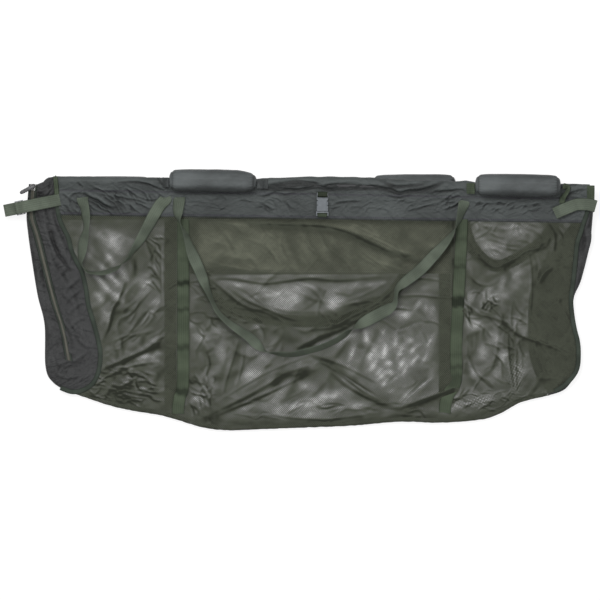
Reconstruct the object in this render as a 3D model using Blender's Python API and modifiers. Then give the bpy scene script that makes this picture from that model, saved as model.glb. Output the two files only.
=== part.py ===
"""Floating recovery sling: two poled mesh panels, folded side gussets, floats, handles and fittings.

It lies flat on its rear panel. X runs along the mouth, Y points to the mouth, Z is up.
All sizes are metres. Plan shapes are fractions of the half length and half depth, heights are
stacked up from the floor, and real trade sizes (webbing, pole, float, zip, buckle) are named below.
"""
import math

import bmesh
import bpy
from mathutils import Matrix, Vector

for old in list(bpy.data.objects):
    bpy.data.objects.remove(old, do_unlink=True)

# Overall sizes
SLING_L = 1.218
SLING_D = 0.535
HALF_L = SLING_L / 2
HALF_D = SLING_D / 2

# Cloth, webbing and clearances
GAP = 0.0003
SEAM = 0.0008
PANEL_SEAM = 0.0016
CLOTH_T = 0.0008
MESH_T = 0.0010
WEB_W = 0.025
WEB_T = 0.0016
BIND_W = 0.0095
BIND_T = 0.0012

# Poles and their sleeves
POLE_D = 0.016
CAP_L = 0.006
SLEEVE_W = 0.027
BAND_W = 0.0533
SLEEVE_R = POLE_D / 2 + GAP + CLOTH_T

# Floats
FLOAT_W = 0.047
FLOAT_H = 0.040
FLOAT_FLAT = 0.935
FLOAT_SHIFT = 0.0035
FLOAT_SLIT = 0.0010
FRONT_FLOAT_LEFT_X = -0.2931 * HALF_L
FRONT_FLOAT_RIGHT_X = 0.7325 * HALF_L
REAR_FLOAT_LEFT_X = -0.642 * HALF_L
REAR_FLOAT_RIGHT_X = 0.384 * HALF_L
FRONT_FLOAT_LEFT_L = 0.179
FRONT_FLOAT_RIGHT_L = 0.175
REAR_FLOAT_L = 0.172
TAB_W = 0.016

# Zip, buckle and strap fittings
ZIP_W = 0.011
ZIP_T = 0.0008
TEETH_W = 0.0042
TEETH_T = 0.0014
BUCKLE_W = 0.0258
BUCKLE_T = 0.009
BUCKLE_TILT = math.radians(11)
GLIDE_L = 0.018
GLIDE_W = 0.0292

# Heights that follow from the stack lying on the floor
REAR_Z = WEB_T + GAP + MESH_T / 2
REAR_POLE_Z = SLEEVE_R + GAP
FRONT_POLE_Z = FLOAT_H + GAP + SLEEVE_R + GAP
FRONT_LOW_Z = 0.017
RAMP = 0.26

# Mouth lines: height of each pole line across the plan
FRONT_SLOPE = -0.0152
REAR_SLOPE = 0.0069
FRONT_LINE_Y = HALF_D - FLOAT_W / 2 - FLOAT_SHIFT - FRONT_SLOPE * FRONT_FLOAT_LEFT_X
REAR_LINE_Y = 0.7465 * HALF_D

# Plan guides of the left gusset: front seam, outer fold and rear seam at matched stations
LEFT_FRONT = (
    (-0.8215, 0.9579), (-0.8165, 0.8276), (-0.8148, 0.6513), (-0.7879, 0.4828), (-0.7441, 0.2529),
    (-0.7071, -0.0920), (-0.6734, -0.3831), (-0.6801, -0.5517), (-0.7071, -0.6590),
    (-0.7609, -0.7126),
)
LEFT_FOLD = (
    (-0.9141, 0.8889), (-0.9175, 0.8046), (-0.9226, 0.6513), (-0.9175, 0.5134), (-0.9057, 0.3218),
    (-0.8855, 0.0383), (-0.8620, -0.1916), (-0.8586, -0.5134), (-0.8316, -0.6360),
    (-0.7710, -0.7165),
)
LEFT_REAR = (
    (-0.8552, 0.7969), (-0.8552, 0.7433), (-0.8603, 0.6360), (-0.8586, 0.5134), (-0.8552, 0.3218),
    (-0.8485, 0.0383), (-0.8384, -0.1916), (-0.8316, -0.4751), (-0.8081, -0.6360),
    (-0.7643, -0.6973),
)

# Plan guides of the right gusset
RIGHT_FRONT = (
    (0.9764, 0.8736), (0.9731, 0.7739), (0.9663, 0.6667), (0.9444, 0.5364), (0.9276, 0.3831),
    (0.9192, 0.1686), (0.9141, 0.0153), (0.9259, -0.2222), (0.9394, -0.4061), (0.9360, -0.5211),
    (0.8923, -0.6667), (0.8350, -0.7203),
)
RIGHT_FOLD = (
    (0.9899, 0.8429), (0.9899, 0.7280), (0.9865, 0.6207), (0.9832, 0.5287), (0.9798, 0.4368),
    (0.9495, 0.1609), (0.9226, 0.0000), (0.9310, -0.2222), (0.9444, -0.4061), (0.9411, -0.5211),
    (0.8973, -0.6782), (0.8401, -0.7318),
)
RIGHT_REAR = (
    (0.9529, 0.7893), (0.9529, 0.7433), (0.9394, 0.6360), (0.9091, 0.5364), (0.8620, 0.3831),
    (0.8081, 0.1916), (0.7811, 0.0153), (0.7778, -0.2222), (0.7811, -0.4061), (0.7946, -0.5211),
    (0.8148, -0.6437), (0.8316, -0.6973),
)

# Fold line of the base, left to right
BASE_FOLD = (
    (-0.7508, -0.7280), (-0.7104, -0.7586), (-0.6498, -0.8046), (-0.5724, -0.8467),
    (-0.4714, -0.8851), (-0.4040, -0.9272), (-0.3367, -0.9732), (-0.2525, -1.0000),
    (-0.1347, -0.9923), (0.0000, -0.9808), (0.1684, -0.9655), (0.3367, -0.9349), (0.4714, -0.9425),
    (0.6061, -0.9195), (0.6734, -0.8736), (0.7407, -0.7893), (0.8182, -0.7433),
)

# Zip line on the left gusset: station along the guides and share of the way to the fold
ZIP_LINE = ((0.5, 0.80), (1.0, 0.817), (2.0, 0.83), (3.0, 0.76), (4.0, 0.744), (5.0, 0.69),
            (6.0, 0.65), (6.7, 0.56))

# Webbing centre lines: plan fractions and roll in degrees, 0 flat and 90 on edge
FRONT_HANDLE = (
    (-0.4067, 0.7870, 0), (-0.4067, 0.7617, 15), (-0.4108, 0.6743, 35), (-0.4047, 0.5946, 85),
    (-0.3855, 0.5011, 114), (-0.3727, 0.4153, 134), (-0.3586, 0.3295, 162), (-0.3418, 0.2452, 160),
    (-0.3266, 0.1609, 149), (-0.3118, 0.0766, 122), (-0.2956, -0.0123, 111),
    (-0.2751, -0.0981, 114), (-0.2357, -0.1839, 122), (-0.1768, -0.2759, 141),
    (-0.1481, -0.3333, 155), (-0.1165, -0.3931, 105), (-0.0774, -0.4107, 90),
    (-0.0337, -0.4184, 76), (0.0067, -0.4023, 58), (0.0673, -0.3648, 60), (0.1212, -0.3103, 60),
    (0.1549, -0.2567, 62), (0.1785, -0.2222, 90), (0.2088, -0.1801, 145), (0.2559, -0.1226, 178),
    (0.2963, -0.0728, 155), (0.3182, -0.0307, 120), (0.3226, 0.0230, 109), (0.3283, 0.0843, 117),
    (0.3535, 0.1379, 145), (0.4040, 0.2299, 161), (0.4478, 0.3333, 155), (0.4815, 0.4176, 137),
    (0.5084, 0.4943, 114), (0.5212, 0.5402, 95), (0.5337, 0.6054, 66), (0.5438, 0.6820, 45),
    (0.5519, 0.7387, 20), (0.5522, 0.7648, 15),
)
FRONT_SIDE_LOOP = (
    (-0.7424, 0.7778, 0), (-0.7418, 0.7548, 15), (-0.7256, 0.7088, 39), (-0.7205, 0.6437, 46),
    (-0.7189, 0.5900, 58), (-0.7205, 0.5364, 60), (-0.7256, 0.4828, 46), (-0.7313, 0.4291, 35),
    (-0.7340, 0.3755, 42), (-0.7374, 0.3218, 60), (-0.7380, 0.2881, 73), (-0.7306, 0.2490, 90),
    (-0.7138, 0.2146, 102), (-0.6845, 0.2054, 107), (-0.6566, 0.2115, 114), (-0.6330, 0.2299, 114),
    (-0.6138, 0.2498, 109), (-0.5997, 0.2774, 90), (-0.5785, 0.3203, 76), (-0.5640, 0.3755, 66),
    (-0.5394, 0.4559, 42), (-0.5135, 0.5594, 26), (-0.4909, 0.6552, 10), (-0.4697, 0.7318, 10),
    (-0.4525, 0.7701, 5), (-0.4519, 0.7931, 0),
)
REAR_HANDLE = (
    (-0.3704, 0.6743, 0), (-0.3636, 0.5211, 0), (-0.3401, 0.2912, 0), (-0.3131, 0.0920, 0),
    (-0.2727, -0.0230, 0), (-0.2054, -0.0920, 0), (-0.1279, -0.1379, 0), (-0.0337, -0.1609, 0),
    (0.0673, -0.1609, 0), (0.1515, -0.1456, 0), (0.2290, -0.0766, 0), (0.3030, 0.0307, 0),
    (0.3603, 0.2146, 0), (0.4040, 0.4444, 0), (0.4242, 0.6743, 0),
)
REAR_SIDE_LOOP = (
    (0.5522, 0.6743, 0), (0.5589, 0.5364, 0), (0.5791, 0.4138, 0), (0.6195, 0.3065, 0),
    (0.6667, 0.2605, 0), (0.7172, 0.2989, 0), (0.7677, 0.3678, 0), (0.8215, 0.4598, 0),
    (0.8519, 0.5594, 0), (0.8620, 0.6743, 0),
)
FRONT_STRAP_LEFT = (
    (-0.3939, 0.6207, 0), (-0.3939, 0.3065, 0), (-0.3939, 0.0000, 0), (-0.3939, -0.3372, 0),
    (-0.3956, -0.6590, 0), (-0.4057, -0.7510, 0), (-0.4108, -0.8276, 0), (-0.4108, -0.8736, 0),
)
FRONT_STRAP_RIGHT = (
    (0.5455, 0.6207, 0), (0.5421, 0.3831, 0), (0.5337, 0.0000, 0), (0.5269, -0.3372, 0),
    (0.5253, -0.6130, 0), (0.5017, -0.7203, 0), (0.4916, -0.7969, 0), (0.4882, -0.8659, 0),
)
REAR_STRAP_LEFT = (
    (-0.4370, 0.6667, 0), (-0.4370, 0.0000, 0), (-0.4370, -0.8276, 0),
)
REAR_STRAP_RIGHT = (
    (0.4882, 0.6667, 0), (0.4882, 0.0000, 0), (0.4882, -0.8276, 0),
)
LEFT_BINDING = (
    (-0.8229, 0.9379), (-0.8219, 0.9234), (-0.8209, 0.9042), (-0.8199, 0.8851), (-0.8189, 0.8659),
    (-0.8182, 0.8429), (-0.8175, 0.8199), (-0.8175, 0.7739), (-0.8182, 0.7203), (-0.8081, 0.6054),
    (-0.7825, 0.4828), (-0.7697, 0.3755), (-0.7525, 0.2912), (-0.7354, 0.2146), (-0.7222, 0.0920),
    (-0.7138, -0.0383), (-0.6970, -0.1686), (-0.6801, -0.3142), (-0.6734, -0.4291),
    (-0.6801, -0.5517), (-0.7003, -0.6437), (-0.7340, -0.6935), (-0.7697, -0.7050),
    (-0.8081, -0.6743),
)
RIGHT_BINDING = (
    (0.9697, 0.7203), (0.9663, 0.6667), (0.9562, 0.5977), (0.9461, 0.5211), (0.9343, 0.4368),
    (0.9293, 0.3295), (0.9226, 0.1686), (0.9141, 0.0153), (0.9175, -0.1073), (0.9259, -0.2222),
    (0.9360, -0.3142), (0.9394, -0.4061), (0.9360, -0.5134), (0.9192, -0.5900), (0.8889, -0.6590),
    (0.8586, -0.7011),
)

# End fittings: plan anchors
LEFT_STRAP_START = (-0.8081, 0.7693)
LEFT_STRAP_END = (-0.9569, 0.7011)
TAIL_END = (-0.9960, 0.6797)
RIGHT_FLAP = (
    (0.9960, 0.7165, 0), (0.9697, 0.7310, 0), (0.9360, 0.7326, 0), (0.9158, 0.7203, 0),
    (0.8956, 0.7011, 0), (0.8754, 0.6820, 0), (0.8569, 0.6621, 0),
)
# Tail of the last float tab: metres from the end of the float and from the pole line, and roll
TAB_TAIL = ((0.0056, 0.0041, 0), (0.0148, 0.0012, 30), (0.0138, -0.0071, 50),
            (0.0076, -0.0164, 35), (0.0041, -0.0236, 15), (0.0035, -0.0318, 0))
BUCKLE_X = 0.0761 * HALF_L
BUCKLE_DOWN = 0.0011
SLIDER_AT = (-0.8963, 0.8644)
PULLER_END = (-0.9340, 0.8276)

parts = bpy.data.collections.new("recovery_sling")
cutters = bpy.data.collections.new("sling_cutters")
bpy.context.scene.collection.children.link(parts)
bpy.context.scene.collection.children.link(cutters)


def material(name, colour, roughness, metallic=0.0):
    """Plain Principled material."""
    mat = bpy.data.materials.new(name)
    mat.use_nodes = True
    shader = mat.node_tree.nodes["Principled BSDF"]
    shader.inputs["Base Color"].default_value = (*colour, 1.0)
    shader.inputs["Roughness"].default_value = roughness
    shader.inputs["Metallic"].default_value = metallic
    return mat


MESH_MAT = material("knitted_mesh", (0.107, 0.110, 0.096), 0.8)
NYLON_MAT = material("grey_nylon", (0.064, 0.071, 0.070), 0.6)
OLIVE_MAT = material("olive_cloth", (0.095, 0.099, 0.076), 0.75)
GUSSET_MAT = material("gusset_nylon", (0.050, 0.051, 0.051), 0.6)
WEB_MAT = material("olive_webbing", (0.072, 0.083, 0.064), 0.7)
BIND_MAT = material("binding_tape", (0.049, 0.057, 0.053), 0.7)
FLOAT_MAT = material("float_cover", (0.102, 0.113, 0.115), 0.55)
FOAM_MAT = material("float_foam", (0.35, 0.35, 0.34), 0.9)
POLE_MAT = material("pole_composite", (0.03, 0.03, 0.03), 0.35)
RUBBER_MAT = material("cap_rubber", (0.012, 0.012, 0.012), 0.8)
PLASTIC_MAT = material("buckle_plastic", (0.08, 0.088, 0.095), 0.4)
ZIP_MAT = material("zip_plastic", (0.045, 0.050, 0.045), 0.5)
SLIDER_MAT = material("slider_metal", (0.25, 0.25, 0.24), 0.35, 1.0)


def lerp(a, b, t):
    """Straight blend from a to b."""
    return a + (b - a) * t


def plan(fractions):
    """Plan point in metres from its fractions of the half length and half depth."""
    return Vector((fractions[0] * HALF_L, fractions[1] * HALF_D))


def placed(guide):
    """Guide points in metres, with any roll kept as the last value."""
    return [(p[0] * HALF_L, p[1] * HALF_D, *p[2:]) for p in guide]


def curve_at(points, station):
    """Smooth curve through the points, at a station counted in points."""
    i = min(max(int(station), 0), len(points) - 2)
    t = station - i
    before = points[max(i - 1, 0)]
    after = points[min(i + 2, len(points) - 1)]
    result = []
    for p0, p1, p2, p3 in zip(before, points[i], points[i + 1], after):
        bend = 2 * p0 - 5 * p1 + 4 * p2 - p3
        swing = 3 * p1 - 3 * p2 + p3 - p0
        result.append(0.5 * (2 * p1 + (p2 - p0) * t + bend * t * t + swing * t * t * t))
    return result


def walk(points, fine=10):
    """Function of 0 to 1 that runs along the smooth curve at an even pace."""
    count = fine * (len(points) - 1)
    samples = [curve_at(points, i / fine) for i in range(count + 1)]
    reach = [0.0]
    for a, b in zip(samples, samples[1:]):
        reach.append(reach[-1] + math.dist(a[:2], b[:2]))

    def at(t):
        goal = min(max(t, 0.0), 1.0) * reach[-1]
        i = 0
        while i < count - 1 and reach[i + 1] < goal:
            i += 1
        share = (goal - reach[i]) / max(reach[i + 1] - reach[i], 1e-9)
        return [lerp(a, b, share) for a, b in zip(samples[i], samples[i + 1])]

    return at


def x_at(points, y):
    """X of a side guide where it passes the given Y, for guides that run down the plan."""
    samples = [curve_at(points, i / 8) for i in range(8 * (len(points) - 1) + 1)]
    if y >= samples[0][1]:
        return samples[0][0]
    for a, b in zip(samples, samples[1:]):
        if b[1] <= y <= a[1]:
            return lerp(a[0], b[0], (a[1] - y) / max(a[1] - b[1], 1e-9))
    return samples[-1][0]


def front_line(x):
    """Y of the front pole's axis."""
    return FRONT_LINE_Y + FRONT_SLOPE * x


def rear_line(x):
    """Y of the rear pole's axis."""
    return REAR_LINE_Y + REAR_SLOPE * x


def front_z(x, y):
    """Mid height of the front panel: it falls from the pole to the low part of the bag."""
    below = front_line(x) + SLEEVE_R - SLEEVE_W - y
    share = min(max(below / RAMP, 0.0), 1.0)
    return FRONT_LOW_Z + (FRONT_POLE_Z - FRONT_LOW_Z) * (1 - share) ** 2


def sleeve_angles(stitch_y, stitch_z, radius):
    """Angles where the cloth from the stitch line touches the round part of a sleeve."""
    base = math.atan2(stitch_z, stitch_y) % (2 * math.pi)
    half = math.acos(radius / math.hypot(stitch_y, stitch_z))
    return base + half, base - half


def front_top(x, y):
    """Height of the front's upper surface, over the sleeve, the band and the mesh."""
    rise = y - front_line(x)
    stitch = SLEEVE_R - SLEEVE_W
    if rise <= stitch:
        return front_z(x, y) + MESH_T / 2
    upper = sleeve_angles(stitch, CLOTH_T + GAP, SLEEVE_R)[1]
    touch = SLEEVE_R * math.cos(upper)
    if rise < touch:
        share = (rise - stitch) / (touch - stitch)
        return FRONT_POLE_Z + lerp(CLOTH_T + GAP, SLEEVE_R * math.sin(upper), share)
    reach = max(SLEEVE_R ** 2 - min(rise, SLEEVE_R) ** 2, 0.0)
    return FRONT_POLE_Z + math.sqrt(reach)


def finish(name, mesh, mat):
    """Wrap a mesh in a named object with its material in the part collection."""
    obj = bpy.data.objects.new(name, mesh)
    mesh.materials.append(mat)
    parts.objects.link(obj)
    mesh.shade_smooth()
    return obj


def bmesh_object(name, bm, mat):
    """Named object from a bmesh."""
    bm.normal_update()
    mesh = bpy.data.meshes.new(name)
    bm.to_mesh(mesh)
    bm.free()
    return finish(name, mesh, mat)


def thicken(obj, thickness, even=True):
    """Centred Solidify."""
    mod = obj.modifiers.new("thickness", "SOLIDIFY")
    mod.thickness = thickness
    mod.offset = 0.0
    mod.use_even_offset = even
    return obj


def sheet(name, across, along, point, thickness, mat, even=True):
    """Cloth sheet: a grid mapped by point(s, t) and thickened about its mid surface."""
    bm = bmesh.new()
    bmesh.ops.create_grid(bm, x_segments=across, y_segments=along, size=0.5)
    for vert in bm.verts:
        s = round((vert.co.x + 0.5) * across) / across
        t = round((vert.co.y + 0.5) * along) / along
        vert.co = point(s, t)
    return thicken(bmesh_object(name, bm, mat), thickness, even)


def ribbon_point(path, width, s, station, side=None):
    """Point across a rolled ribbon at a station of its centre line (x, y, z, roll)."""
    last = len(path) - 1
    here = curve_at(path, station)
    ahead = curve_at(path, min(station + 0.02, last))
    behind = curve_at(path, max(station - 0.02, 0.0))
    if side is None:
        run = Vector((ahead[0] - behind[0], ahead[1] - behind[1], 0.0)).normalized()
        flat = Vector((-run.y, run.x, 0.0))
        roll = math.radians(here[3])
        side = flat * math.cos(roll) + Vector((0, 0, 1)) * math.sin(roll)
    return Vector(here[:3]) + side * (s - 0.5) * width


def ribbon(name, path, width, thickness, mat, steps=2, side=None):
    """Webbing along a centre line."""
    last = len(path) - 1

    def point(s, t):
        return ribbon_point(path, width, s, t * last, side)

    return sheet(name, 1, last * steps, point, thickness, mat, even=False)


def box(name, low, high, mat, bevel=0.0, frame=None):
    """Box between two corners, with rounded edges, moved by a frame."""
    bm = bmesh.new()
    bmesh.ops.create_cube(bm, size=1.0)
    for vert in bm.verts:
        share = (vert.co.x + 0.5, vert.co.y + 0.5, vert.co.z + 0.5)
        vert.co = Vector([lerp(low[i], high[i], share[i]) for i in range(3)])
    obj = bmesh_object(name, bm, mat)
    if bevel:
        mod = obj.modifiers.new("rounding", "BEVEL")
        mod.width = bevel
        mod.segments = 2
    if frame is not None:
        obj.matrix_world = frame
    return obj


def as_cutter(obj):
    """Keep a tool shape out of the part and out of the render."""
    parts.objects.unlink(obj)
    cutters.objects.link(obj)
    obj.hide_render = True
    obj.display_type = "WIRE"
    return obj


def combine(obj, tool, operation="DIFFERENCE"):
    """Exact Boolean with a tool shape."""
    mod = obj.modifiers.new(operation.lower(), "BOOLEAN")
    mod.operation = operation
    mod.solver = "EXACT"
    mod.object = tool
    return obj


# Sleeves, bands and poles


def collar_profile(pole_z, stitch_z, hem_row):
    """Open profile (rise from the pole line, height): hem, stitch, round the pole, back to it."""
    stitch = SLEEVE_R - SLEEVE_W
    arc_steps = 14
    middle = SLEEVE_R - CLOTH_T / 2
    low, _ = sleeve_angles(stitch, stitch_z - pole_z, middle)
    _, high = sleeve_angles(stitch, stitch_z + CLOTH_T + GAP - pole_z, middle)
    high += 2 * math.pi
    step = (high - low) / arc_steps
    round_r = middle / math.cos(step / 2)
    rows = [hem_row(i / 4) for i in range(4)]
    rows.append((stitch, stitch_z))
    for i in range(arc_steps + 1):
        angle = low + step * i
        rows.append((round_r * math.cos(angle), pole_z + round_r * math.sin(angle)))
    rows.append((stitch, stitch_z + CLOTH_T + GAP))
    return rows


def collar(name, line, rows, left_x, right_x, mat):
    """Collar cloth: the profile run along the mouth between the two side seams."""
    def point(s, t):
        rise, z = rows[round(t * (len(rows) - 1))]
        x = lerp(left_x(rise), right_x(rise), s)
        return Vector((x, line(x) + rise, z))

    return sheet(name, 6, len(rows) - 1, point, CLOTH_T, mat)


def rod(name, line, left_x, right_x, z, radius, mat, sides=20):
    """Round rod along a mouth line."""
    a = Vector((left_x, line(left_x), z))
    b = Vector((right_x, line(right_x), z))
    turn = (b - a).to_track_quat("Z", "Y").to_matrix().to_4x4()
    bm = bmesh.new()
    bmesh.ops.create_cone(bm, cap_ends=True, segments=sides, radius1=radius, radius2=radius,
                          depth=(b - a).length, matrix=Matrix.Translation((a + b) / 2) @ turn)
    return bmesh_object(name, bm, mat)


def front_hem_row(t):
    """Front band rows from the hem up to the stitch line, on the front surface."""
    stitch = SLEEVE_R - SLEEVE_W
    rise = stitch - BAND_W * (1 - t)
    return rise, front_z(0.0, FRONT_LINE_Y + rise) - (CLOTH_T + GAP) / 2 * t


def rear_hem_row(t):
    """Rear band rows, flat just above the floor."""
    stitch = SLEEVE_R - SLEEVE_W
    return stitch - REAR_BAND_W * (1 - t), REAR_Z


REAR_BAND_W = 0.014
LEFT_FRONT_M = placed(LEFT_FRONT)
LEFT_FOLD_M = placed(LEFT_FOLD)
LEFT_REAR_M = placed(LEFT_REAR)
RIGHT_FRONT_M = placed(RIGHT_FRONT)
RIGHT_FOLD_M = placed(RIGHT_FOLD)
RIGHT_REAR_M = placed(RIGHT_REAR)


def front_left_x(rise):
    """Left end of the front collar beside the gusset seam."""
    return x_at(LEFT_FRONT_M, FRONT_LINE_Y + rise - FRONT_SLOPE * HALF_L * 0.82) + SEAM


def front_right_x(rise):
    """Right end of the front collar beside the gusset seam."""
    return x_at(RIGHT_FRONT_M, FRONT_LINE_Y + rise + FRONT_SLOPE * HALF_L) - SEAM


def rear_left_x(rise):
    """Left end of the rear collar."""
    return x_at(LEFT_REAR_M, REAR_LINE_Y + rise) + SEAM


def rear_right_x(rise):
    """Right end of the rear collar."""
    return x_at(RIGHT_REAR_M, REAR_LINE_Y + rise) - SEAM


front_rows = collar_profile(FRONT_POLE_Z, FRONT_POLE_Z - (CLOTH_T + GAP) / 2, front_hem_row)
collar("front_collar", front_line, front_rows, front_left_x, front_right_x, NYLON_MAT)
rear_rows = collar_profile(REAR_POLE_Z, REAR_Z, rear_hem_row)
collar("rear_collar", rear_line, rear_rows, rear_left_x, rear_right_x, NYLON_MAT)

for side, line, z, ends in (
    ("front", front_line, FRONT_POLE_Z, (front_left_x(0.0), front_right_x(0.0))),
    ("rear", rear_line, REAR_POLE_Z, (rear_left_x(0.0), rear_right_x(0.0))),
):
    left = ends[0] + 0.002
    right = ends[1] - 0.002
    radius = POLE_D / 2
    rod(f"{side}_pole", line, left + CAP_L + GAP, right - CAP_L - GAP, z, radius, POLE_MAT)
    rod(f"{side}_cap_left", line, left, left + CAP_L, z, radius, RUBBER_MAT)
    rod(f"{side}_cap_right", line, right - CAP_L, right, z, radius, RUBBER_MAT)

# Panels of knitted mesh


def patch(top, bottom, left, right):
    """Plan point inside four edge curves."""
    corners = (top(0.0), top(1.0), bottom(0.0), bottom(1.0))

    def at(s, t):
        result = []
        for i in range(2):
            rim = lerp(top(s)[i], bottom(s)[i], t) + lerp(left(t)[i], right(t)[i], s)
            flat = lerp(lerp(corners[0][i], corners[1][i], s), lerp(corners[2][i], corners[3][i], s), t)
            result.append(rim - flat)
        return result

    return at


def trimmed(points, first_y, last_y, shift):
    """Part of a side guide between two Y values, moved off the seam at right angles to it."""
    steps = 8
    count = steps * (len(points) - 1)
    kept = []
    for i in range(count + 1):
        here = curve_at(points, i / steps)
        if not last_y < here[1] < first_y:
            continue
        ahead = curve_at(points, min(i + 1, count) / steps)
        behind = curve_at(points, max(i - 1, 0) / steps)
        run = Vector((ahead[0] - behind[0], ahead[1] - behind[1])).normalized()
        kept.append((here[0] - run.y * shift, here[1] + run.x * shift))
    return kept[::3] + [kept[-1]]


BASE_FOLD_M = placed(BASE_FOLD)
base_walk = walk(BASE_FOLD_M)
BASE_INSET = 0.0100


def base_inset(t):
    """How far the base seam stands above the fold, running out at both ends."""
    return BASE_INSET * min(1.0, min(t, 1.0 - t) / 0.06 * 0.8 + 0.2)


def base_point(s, t):
    """Base strip: front seam, outer fold, rear seam."""
    fold = base_walk(t)
    angle = s * math.pi
    front_h = front_z(fold[0], fold[1])
    middle = (front_h + REAR_Z) / 2
    half = (front_h - REAR_Z) / 2
    out = abs(math.sin(angle)) ** (2 / 3)
    up = math.copysign(abs(math.cos(angle)) ** (2 / 3), math.cos(angle))
    return Vector((fold[0], fold[1] + base_inset(t) * (1 - out), middle + half * up))


sheet("base_panel", 8, 44, base_point, MESH_T, MESH_MAT)


def base_seam(t0, t1):
    """Lower edge of a panel, just above the base strip's seam."""
    def at(s):
        t = lerp(t0, t1, s)
        fold = base_walk(t)
        ahead, behind = base_walk(t + 0.01), base_walk(t - 0.01)
        slope = (ahead[1] - behind[1]) / (ahead[0] - behind[0])
        clear = PANEL_SEAM * 1.4 * math.hypot(1.0, slope) ** 3
        return [fold[0], fold[1] + base_inset(t) + clear]
    return at


def hem_edge(line, rise, left, right):
    """Upper edge of a panel, just below the hem of its collar."""
    def at(s):
        x = lerp(left, right, s)
        return [x, line(x) + rise - SEAM]
    return at


SEAM_END = 0.026


def side_edge(points, shift, top_point, bottom_point):
    """Side edge of a panel between two corners."""
    inner = trimmed(points, top_point[1] - 0.006, bottom_point[1] + SEAM_END, shift)
    return walk([tuple(top_point)] + inner + [tuple(bottom_point)])


def panel(name, line, hem_rise, guides, base_span, height, mat, across, along):
    """Knitted panel between hem, base strip and both side seams."""
    bottom = base_seam(*base_span)
    left_guide, right_guide = guides
    left_x = x_at(left_guide, line(-HALF_L) + hem_rise) + PANEL_SEAM
    right_x = x_at(right_guide, line(HALF_L) + hem_rise) - PANEL_SEAM
    top = hem_edge(line, hem_rise, left_x, right_x)
    left = side_edge(left_guide, PANEL_SEAM, top(0.0), bottom(0.0))
    right = side_edge(right_guide, -PANEL_SEAM, top(1.0), bottom(1.0))
    at = patch(top, bottom, left, right)

    def point(s, t):
        x, y = at(s, t)
        return Vector((x, y, height(x, y)))

    return sheet(name, across, along, point, MESH_T, mat)


FRONT_HEM = SLEEVE_R - SLEEVE_W - BAND_W
REAR_HEM = SLEEVE_R - SLEEVE_W - REAR_BAND_W
panel("front_mesh", front_line, FRONT_HEM, (LEFT_FRONT_M, RIGHT_FRONT_M), (0.03, 0.99),
      front_z, MESH_MAT, 22, 20)
panel("rear_mesh", rear_line, REAR_HEM, (LEFT_REAR_M, RIGHT_REAR_M), (0.01, 0.985),
      lambda x, y: REAR_Z, MESH_MAT, 20, 14)


def rear_panel_point(s, t):
    """Solid cloth panel over the middle of the rear mesh."""
    x = lerp(CENTRE_LEFT, CENTRE_RIGHT, s) * HALF_L
    top = rear_line(x) + REAR_HEM - SEAM
    return Vector((x, lerp(top, CENTRE_LOW * HALF_D, t), REAR_Z + MESH_T / 2 + GAP + CLOTH_T / 2))


CENTRE_LEFT = -0.3704
CENTRE_RIGHT = 0.5118
CENTRE_LOW = 0.1992
sheet("rear_centre_panel", 6, 3, rear_panel_point, CLOTH_T, OLIVE_MAT)

# Folded gussets at both ends

GUSSET_POWER = 3.0


def gusset_point(guides, station, turn):
    """Gusset surface: turn 0 at the front seam, 0.5 at the outer fold, 1 at the rear seam."""
    front, fold, rear = (curve_at(g, station) for g in guides)
    angle = turn * math.pi
    front_h = front_z(front[0], front[1])
    middle = (front_h + REAR_Z) / 2
    out = abs(math.sin(angle)) ** (2 / GUSSET_POWER)
    up = math.copysign(abs(math.cos(angle)) ** (2 / GUSSET_POWER), math.cos(angle))
    seam = front if turn <= 0.5 else rear
    x = lerp(seam[0], fold[0], out)
    y = lerp(seam[1], fold[1], out)
    return Vector((x, y, middle + (front_h - middle) * up))


def gusset(name, guides, along, mat):
    """Folded end gusset."""
    last = len(guides[0]) - 1

    def point(s, t):
        return gusset_point(guides, t * last, s)

    return sheet(name, 10, along, point, MESH_T, mat)


LEFT_GUIDES = (LEFT_FRONT_M, LEFT_FOLD_M, LEFT_REAR_M)
RIGHT_GUIDES = (RIGHT_FRONT_M, RIGHT_FOLD_M, RIGHT_REAR_M)
gusset("left_gusset", LEFT_GUIDES, 26, GUSSET_MAT)
gusset("right_gusset", RIGHT_GUIDES, 28, GUSSET_MAT)

# Edge bindings


def surface_roll(points, i):
    """Roll that lays a ribbon flat on the front's slope at one of its points."""
    ahead = points[min(i + 1, len(points) - 1)]
    behind = points[max(i - 1, 0)]
    run = Vector((ahead[0] - behind[0], ahead[1] - behind[1])).normalized()
    reach = 0.003
    x, y = points[i][:2]
    rise = front_top(x - run.y * reach, y + run.x * reach)
    fall = front_top(x + run.y * reach, y - run.x * reach)
    return math.degrees(math.atan2(rise - fall, 2 * reach))


def over_front(guide, thickness, clear=GAP * 2):
    """Centre line lying on the front's upper surface and rolled to its slope."""
    points = placed(guide)
    path = []
    for i, (x, y, *_) in enumerate(points):
        path.append((x, y, front_top(x, y) + clear + thickness / 2, surface_roll(points, i)))
    return path


left_binding = over_front(LEFT_BINDING, BIND_T)
left_binding[-1] = (*left_binding[-1][:2], left_binding[-1][2] - 0.002, 0.0)
ribbon("front_binding_left", left_binding, BIND_W, BIND_T, BIND_MAT)
ribbon("front_binding_right", over_front(RIGHT_BINDING, BIND_T, SEAM * 2), BIND_W, BIND_T, BIND_MAT)


def rear_binding(name, points):
    """Binding over a rear side seam, on the inside of the bag."""
    z = REAR_Z + MESH_T / 2 + GAP + BIND_T / 2
    path = [(x, y, z, 0.0) for x, y in points[2:-1]]
    return ribbon(name, path, BIND_W, BIND_T, BIND_MAT, steps=3)


rear_binding("rear_binding_left", LEFT_REAR_M)
rear_binding("rear_binding_right", RIGHT_REAR_M)

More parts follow.
